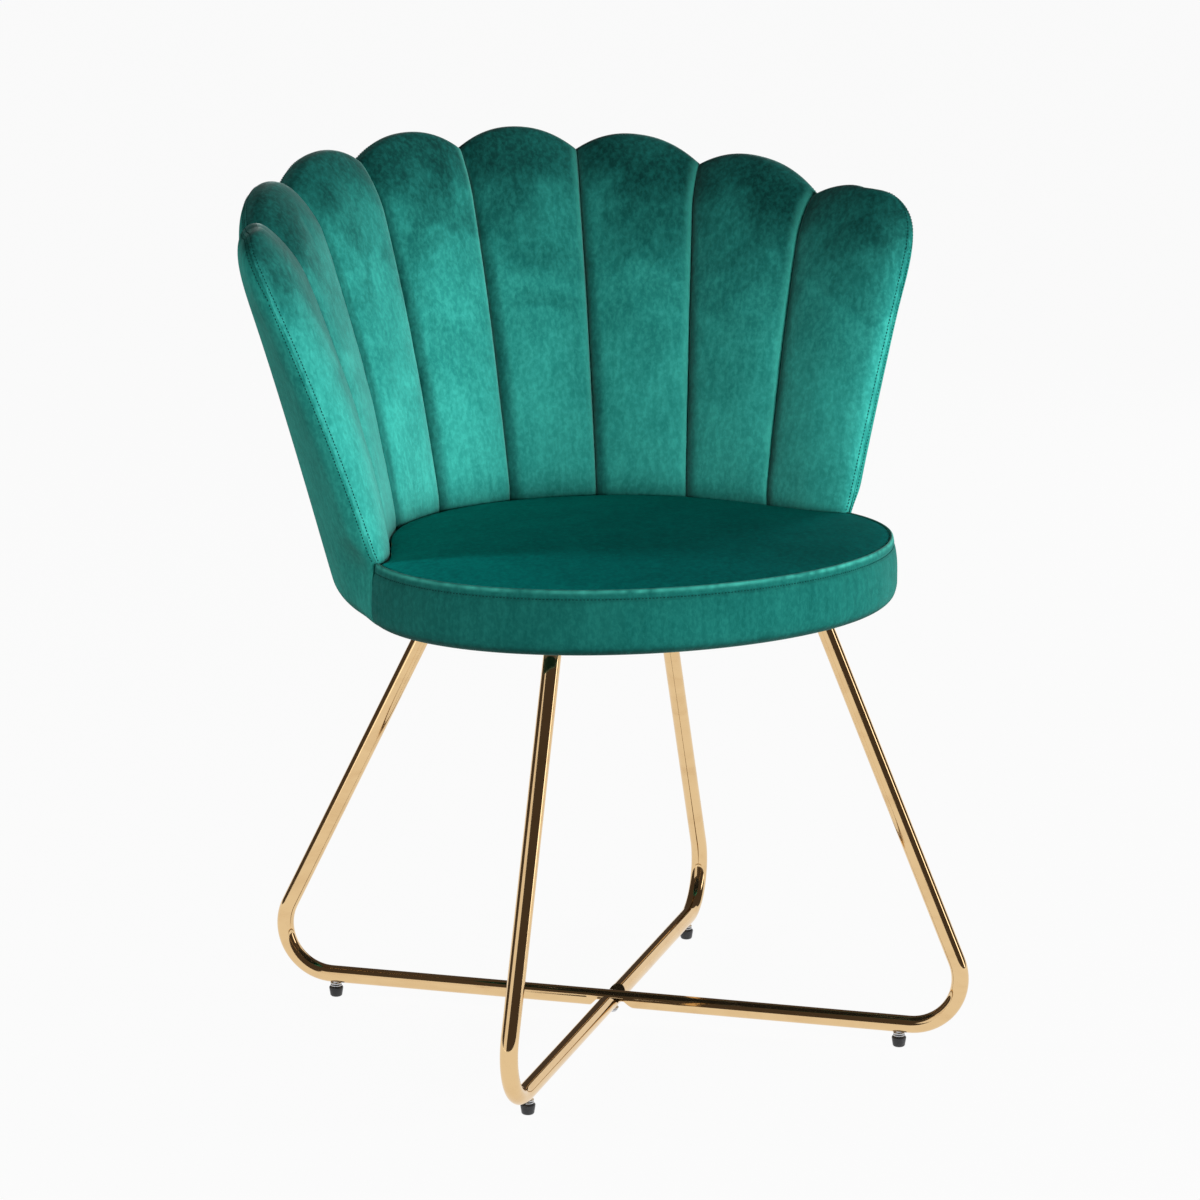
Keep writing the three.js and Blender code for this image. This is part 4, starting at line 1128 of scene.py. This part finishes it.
def seat_band():
    end = wing_foot_angle - fit_gap / seat_half_width
    sections = []
    for t in spread(150):
        angle = lerp(math.pi - end, 2 * math.pi + end, t)
        sections.append([round_axis(r + pucker_height * pucker(t, z), angle, z)
                         for r, z in boxing_outline(angle)])
    piece = new_piece("seat_band", cut_and_shape(sections), band_velvet)
    # Painted highlight along the band's fold beside the seat's seam, where the pile also stands open
    brushed = []
    for vert in piece.data.vertices:
        uneven = 0.4 + 0.4 * noise.noise(vert.co * 160) + 0.3 * noise.noise(vert.co * 12)
        brushed.append(clamp(uneven * hump(vert.co.z / MM - (seat_seam - fit_gap), painted_highlight_width)))
    mark(piece, "brushed", brushed)
    return finish_piece(subdivide(piece), "chair", "velvet", "seat_boxing")


# Stitches

def one_stitch():
    """A short run of thread that dips into the cloth at both ends."""
    sections = []
    for t in spread(6, -1, 1):
        radius = stitch_thickness / 2 * math.sqrt(max(0.02, 1 - abs(t) ** 4))
        dip = -0.9 * stitch_thickness * t * t
        ring = [Vector((t * stitch_length / 2, radius * math.cos(a), radius * math.sin(a) + dip))
                for a in spread(6, 0, 2 * math.pi)[:-1]]
        sections.append([point * MM for point in ring])
    return cut_and_shape(sections)


def stitch_row(name, runs):
    """Stitches along runs of (place, outward direction) points, in metres."""
    pattern = one_stitch()
    pattern_mesh = bpy.data.meshes.new("stitch_pattern")
    pattern.to_mesh(pattern_mesh)
    pattern.free()
    bm = bmesh.new()
    for run in runs:
        walked, due = 0.0, stitch_pitch * MM / 2
        for (a, na), (b, nb) in zip(run, run[1:]):
            step = (b - a).length
            while walked + step >= due and step > 0:
                share = (due - walked) / step
                along = (b - a).normalized()
                up = na.lerp(nb, share).normalized()
                side = up.cross(along).normalized()
                turn = Matrix((along, side, along.cross(side))).transposed().to_4x4()
                first = len(bm.verts)
                bm.from_mesh(pattern_mesh)
                bm.verts.ensure_lookup_table()
                matrix = Matrix.Translation(a.lerp(b, share)) @ turn
                bmesh.ops.transform(bm, matrix=matrix, verts=bm.verts[first:])
                due += stitch_pitch * MM
            walked += step
    bpy.data.meshes.remove(pattern_mesh)
    return finish_piece(new_piece(name, bm, green_thread), "chair", "velvet")


def surface_of(*pieces):
    graph = bpy.context.evaluated_depsgraph_get()
    return [BVHTree.FromObject(piece, graph) for piece in pieces]


def laid_on(trees, points):
    """Moves points, each with the direction that faces out, onto the cloth under them."""
    search = 30 * MM
    run = []
    for place, out in points:
        best = None
        for tree in trees:
            hit, normal, _, distance = tree.ray_cast(place + out * search, -out, 2 * search)
            if hit and (best is None or distance < best[2]):
                best = (hit, normal, distance)
        if best:
            run.append((best[0] + best[1] * stitch_lift * MM, best[1]))
    return run


def band_stitches(band):
    end = wing_foot_angle + 0.01
    points = []
    for t in spread(400):
        angle = lerp(math.pi - end, 2 * math.pi + end, t)
        out = Vector((math.cos(angle), math.sin(angle), 0))
        z = seat_seam - fit_gap - seam_band
        points.append((round_axis(front_radius(angle) + 3, angle, z), out))
    return stitch_row("seat_seam_stitches", [laid_on(surface_of(band), points)])


def forwards(number, angle):
    """Direction along the wall to the front edge of a wing."""
    return Vector((math.sin(angle), -math.cos(angle), 0)) * (1 if number == 1 else -1)


def wing_edge_points(number, offset):
    """Line down the front edge of a wing, offset in millimetres towards the inside of the back."""
    last = petal_place(number, 1)
    top = outer_roll(last, wing_seam_turn)[1] - row_end + max(offset, 0) * 2.6
    points = []
    for z in spread(120, seat_seam + row_start, top):
        angle = sweep_angle(last[0], z)
        outward = Vector((math.cos(angle), math.sin(angle), 0))
        out = forwards(number, angle) + outward * (0.7 if offset < 0 else -0.1)
        spot = on_back(shell_outside(last[0], z) - seam_inset - offset, z, last[0])
        points.append((spot, out.normalized()))
    return points


def crest_points(offset):
    """The same line over the top of every petal."""
    step = 0.005
    points = []
    for number in range(1, petal_count + 1):
        steps = [a for a in petal_steps(number, 60)
                 if abs(a) < groove_clear or number in wing_numbers and a > 0]
        for place in petal_row(number, steps):
            seam = seam_at(place)
            here, ahead = outer_roll(place, seam - step), outer_roll(place, seam + step)
            run = math.dist(here, ahead) or 1e-6
            along = ((ahead[0] - here[0]) / run, (ahead[1] - here[1]) / run)
            spot = (here[0] + along[0] * offset, here[1] + along[1] * offset)
            angle = sweep_angle(place[0], spot[1])
            normal = Vector((along[1] * math.cos(angle), along[1] * math.sin(angle), -along[0]))
            if place[2] and place[1] > 0:
                ahead_now = forwards(number, angle) * 1.6 * ease(place[1])
                normal = (normal + ahead_now).normalized()
            points.append((on_back(*spot, place[0]), normal))
    return points


def seam_stitches(name, pieces, offset):
    """Stitches beside the seam of the two covers, from one wing's foot over the crest to the
    other's."""
    trees = surface_of(*pieces)
    right, left = (wing_edge_points(number, offset) for number in wing_numbers)
    lines = (right, crest_points(offset), left[::-1])
    return stitch_row(name, [laid_on(trees, points) for points in lines])


# Legs

def leg_path(plate_reach, side):
    """Centre line from a leg's top down through its bend, as (along, height, heading)."""
    lean = math.atan((corner_reach - plate_reach) / (plate_bottom - rail_height))
    turn = right_angle + lean
    tangent = bend_radius * math.tan(turn / 2)
    centre = (side * (corner_reach - tangent), rail_height + bend_radius)
    height = plate_bottom + leg_overrun
    top = (side * (corner_reach - (height - rail_height) * math.tan(lean)), height)
    bend = []
    for angle in spread(26, turn, 0):
        bend.append((
            centre[0] + side * bend_radius * math.sin(angle),
            centre[1] - bend_radius * math.cos(angle),
            (-side * math.cos(angle), -math.sin(angle)),
        ))
    heading = (side * math.sin(lean), -math.cos(lean))
    path = [(lerp(top[0], bend[0][0], t), lerp(top[1], bend[0][1], t), heading)
            for t in spread(12)[:-1]]
    return path + bend


def smooth_max(a, b, softness):
    gap = clamp(0.5 + 0.5 * (a - b) / softness)
    return lerp(b, a, gap) + softness * gap * (1 - gap)


def leg_frame(name, azimuth, over, node):
    """One bent tube from seat to seat, with its rail pressed flat at the crossing on the side
    where the other rail lies."""
    front = leg_path(front_plate_reach, 1)
    rear = [(a, z, (-h[0], -h[1])) for a, z, h in reversed(leg_path(rear_plate_reach, -1))]
    start, end = front[-1][0], rear[0][0]
    rail = spread(24, start, saddle_run)[1:] + spread(60, saddle_run, -saddle_run)[1:]
    rail += spread(24, -saddle_run, end)[1:-1]
    path = front + [(a, rail_height, (-1, 0)) for a in rail] + rear
    side = 1 if over else -1
    sections = []
    for along, z, (dx, dz) in path:
        ring = []
        slope = (abs(along) - saddle_half) / saddle_shoulder
        for turn in spread(40, 0, 2 * math.pi)[:-1]:
            across, up = tube_radius * math.cos(turn), tube_radius * math.sin(turn)
            x, y, height = along - dz * up, across, z + dx * up
            if abs(along) < saddle_run and z == rail_height:
                limit = lerp(fit_gap / 2, -tube_radius - saddle_clear, clamp(slope))
                offset = side * (height - rail_height)
                pressed = smooth_max(offset, limit, saddle_softness)
                y *= 1 + pressed_spread * clamp((pressed - offset) / tube_radius)
                y *= 1 + saddle_spread * clamp(1 - slope)
                height = rail_height + side * pressed
            ring.append((x, y, height))
        sections.append(ring)
    c, s = math.cos(azimuth), math.sin(azimuth)
    placed = [[in_frame(x * c - y * s, x * s + y * c, z) for x, y, z in ring] for ring in sections]
    bm = cut_and_shape(placed)
    cut = in_frame(0, 0, plate_bottom - fit_gap)
    bmesh.ops.bisect_plane(bm, geom=bm.verts[:] + bm.edges[:] + bm.faces[:], dist=1e-6,
                           plane_co=cut, plane_no=(0, 0, 1), clear_outer=True)
    rim = [e for e in bm.edges if e.is_boundary]
    bmesh.ops.holes_fill(bm, edges=rim, sides=0)
    for edge in rim:
        edge.smooth = False
    bmesh.ops.recalc_face_normals(bm, faces=bm.faces)
    return finish_piece(new_piece(name, bm, gold), "chair", "gold_tube", node)


def cross_screw():
    """Screw head with a socket, and a washer, under the crossing."""
    face, edge, crown, shank, socket = 3.4, 5, 2.0, 2.5, 2.45
    head, depth, bore, reach = 3.0, 2.2, 2.8, 6
    low, high = heights_of("cross_bolt")
    profile = [(0, low + depth), (socket, low + depth), (socket, low + 0.15)]
    profile += softened([(2.6, low), (face, low), (edge, low + crown), (edge, low + 2.9),
                         (shank, low + head)], 0.35)
    profile += [(shank, high), (0, high)]
    turned_piece("cross_screw", profile, "chair", "zinc_steel", "cross_bolt")
    low, high = heights_of("cross_washer")
    ring = softened([(bore, low), (reach, low), (reach, high), (bore, high)], 0.25)
    ring.append(ring[0])
    turned_piece("cross_spring_washer", ring, "chair", "zinc_steel", "cross_washer")


def glide(corner):
    """Levelling glide: a pad, its screwed stud with a collar, and the insert in the rail."""
    foot, widest, bore, socket = 5.5, 7, 2.8, 4
    body = f"glide_{corner}"
    node = f"glide_pad_{corner}"
    low, high = heights_of(node)
    profile = softened([(0, low), (foot, low), (widest, high), (bore, high)], 1.1)
    profile += [(bore, high - socket), (0, high - socket)]
    turned_piece(f"glide_foot_{corner}", profile, body, "black_plastic", node)

    shank, root, tip, rim, plate, pitch = 2.5, 2.1, 1.7, 5.5, 1.2, 0.8
    node = f"glide_stud_{corner}"
    low, top = heights_of(node)
    collar = high + fit_gap
    profile = [(0, low), (shank, low), (shank, collar)]
    profile += softened([(shank, collar), (rim, collar), (rim, collar + plate),
                         (shank, collar + plate)], 0.25)[1:]
    height = collar + plate + 0.6
    while height < top - 1.2:
        profile += [(shank, height), (root, height + pitch / 2)]
        height += pitch
    profile += [(root, top - pitch / 2), (tip, top), (0, top)]
    turned_piece(f"glide_screw_{corner}", profile, body, "zinc_steel", node)

    barrel = 3.7
    node = f"glide_insert_{corner}"
    low, high = heights_of(node)
    ring = softened([(bore, low), (rim, low), (rim, low + plate), (barrel, low + plate)], 0.2)
    ring += [(barrel, high), (bore, high), ring[0]]
    turned_piece(f"glide_socket_{corner}", ring, "chair", "zinc_steel", node)


# Stage, light and camera

def paper_floor():
    """White studio floor that keeps the chair's shadow."""
    bm = bmesh.new()
    bmesh.ops.create_grid(bm, x_segments=1, y_segments=1, size=14)
    floor = new_piece("studio_floor", bm)
    mat, tree, paper = new_material("white_floor_paper")
    feed(tree, paper, base_color=(0.5, 0.5, 0.5), roughness=0.9, specular_ior_level=0.1)
    glow = tree.nodes.new("ShaderNodeEmission")
    mix = tree.nodes.new("ShaderNodeMixShader")
    path = tree.nodes.new("ShaderNodeLightPath").outputs
    seen = math_node(tree, "MAXIMUM", path["Is Camera Ray"], path["Is Glossy Ray"])
    tree.links.new(math_node(tree, "MULTIPLY", seen, 0.95), mix.inputs["Fac"])
    tree.links.new(paper.outputs["BSDF"], mix.inputs[1])
    tree.links.new(glow.outputs["Emission"], mix.inputs[2])
    tree.links.new(mix.outputs["Shader"], tree.nodes["Material Output"].inputs["Surface"])
    floor.data.materials.append(mat)


def white_studio():
    """White to the camera, dark above the floor in reflections, and a faint fill on the chair."""
    fill, mirrored, shown = (0.13, 0.13, 0.13), (0.07, 0.055, 0.045), (1, 1, 1)
    world = bpy.data.worlds.new("white_studio")
    bpy.context.scene.world = world
    world.use_nodes = True
    nodes, links = world.node_tree.nodes, world.node_tree.links
    nodes.clear()
    out = nodes.new("ShaderNodeOutputWorld")
    path = nodes.new("ShaderNodeLightPath")
    airs = []
    for colour in (fill, mirrored, shown):
        air = nodes.new("ShaderNodeBackground")
        air.inputs["Color"].default_value = (*colour, 1)
        airs.append(air.outputs["Background"])
    result = airs[0]
    for seen, air in (("Is Glossy Ray", airs[1]), ("Is Camera Ray", airs[2])):
        mix = nodes.new("ShaderNodeMixShader")
        links.new(path.outputs[seen], mix.inputs["Fac"])
        links.new(result, mix.inputs[1])
        links.new(air, mix.inputs[2])
        result = mix.outputs["Shader"]
    links.new(result, out.inputs["Surface"])


def place_by_view(thing, place, target, roll=0.0):
    """Puts a lamp or the camera at its place, looking at the target."""
    look = (Vector(target) - Vector(place)).to_track_quat("-Z", "Y")
    thing.location = place
    thing.rotation_mode = "QUATERNION"
    thing.rotation_quaternion = look @ Matrix.Rotation(roll, 4, "Z").to_quaternion()
    bpy.context.scene.collection.objects.link(thing)


def softbox(name, place, size, power, mirrored):
    """A lamp over the cloth, or a pale card that only the polished metal mirrors."""
    data = bpy.data.lights.new(name, "AREA")
    data.shape = "RECTANGLE"
    data.size, data.size_y = size
    data.energy = power
    lamp = bpy.data.objects.new(name, data)
    place_by_view(lamp, place, (0, 0, 0.5))
    lamp.visible_diffuse = not mirrored
    lamp.visible_glossy = mirrored


# Name, place, width and height, and power
lamps = [
    ("right_softbox", (3.2, -2.3, 0.6), (1.0, 0.8), 190),
    ("front_softbox", (0.2, -4.2, 0.65), (1.4, 0.9), 165),
    ("left_softbox", (-3.6, -1.2, 0.8), (0.8, 0.9), 22),
    ("right_edge_light", (3.4, 1.6, 1.0), (0.7, 1.2), 30),
    ("left_edge_light", (-3.4, 1.7, 1.0), (0.7, 1.2), 70),
]
cards = [
    ("right_card", (3.2, -2.3, 0.9), (0.8, 1.5), 9),
    ("left_card", (-3.6, -0.6, 1.0), (2.6, 2.0), 14),
    ("far_card", (3.4, 1.4, 1.0), (2.0, 2.0), 11),
]


def studio_light():
    for mirrored, boxes in ((False, lamps), (True, cards)):
        for box in boxes:
            softbox(*box, mirrored)


def photo_camera():
    data = bpy.data.cameras.new("photo_camera")
    data.sensor_fit = "HORIZONTAL"
    data.sensor_width = 36
    data.lens = 124.6
    camera = bpy.data.objects.new("photo_camera", data)
    place = crossing + Vector((-1.8405, -3.2702, 1.2219))
    target = crossing + Vector((-0.0090, 0.0090, 0.4058))
    place_by_view(camera, place, target, roll=0.0015)
    bpy.context.scene.camera = camera


# Putting it together

bpy.context.scene.view_settings.view_transform = "Standard"
finish_frame_nodes()
petals = [petal(number) for number in range(1, petal_count + 1)]
pad = seat_pad()
fill_with_padding(petals, 3.0 * MM)
fill_with_padding([pad], 5.0 * MM)
for piece in petals + [pad]:
    subdivide(piece)
cover = outer_cover()
band = seat_band()
band_stitches(band)
seam_stitches("inner_seam_stitches", petals, seam_row_offset)
seam_stitches("outer_seam_stitches", [cover], -seam_row_offset)
leg_frame("upper_leg_frame", -math.pi / 4, True, "leg_frame_upper")
leg_frame("lower_leg_frame", -3 * math.pi / 4, False, "leg_frame_lower")
cross_screw()
for corner in ("fr", "rl", "fl", "rr"):
    glide(corner)

paper_floor()
white_studio()
studio_light()
photo_camera()
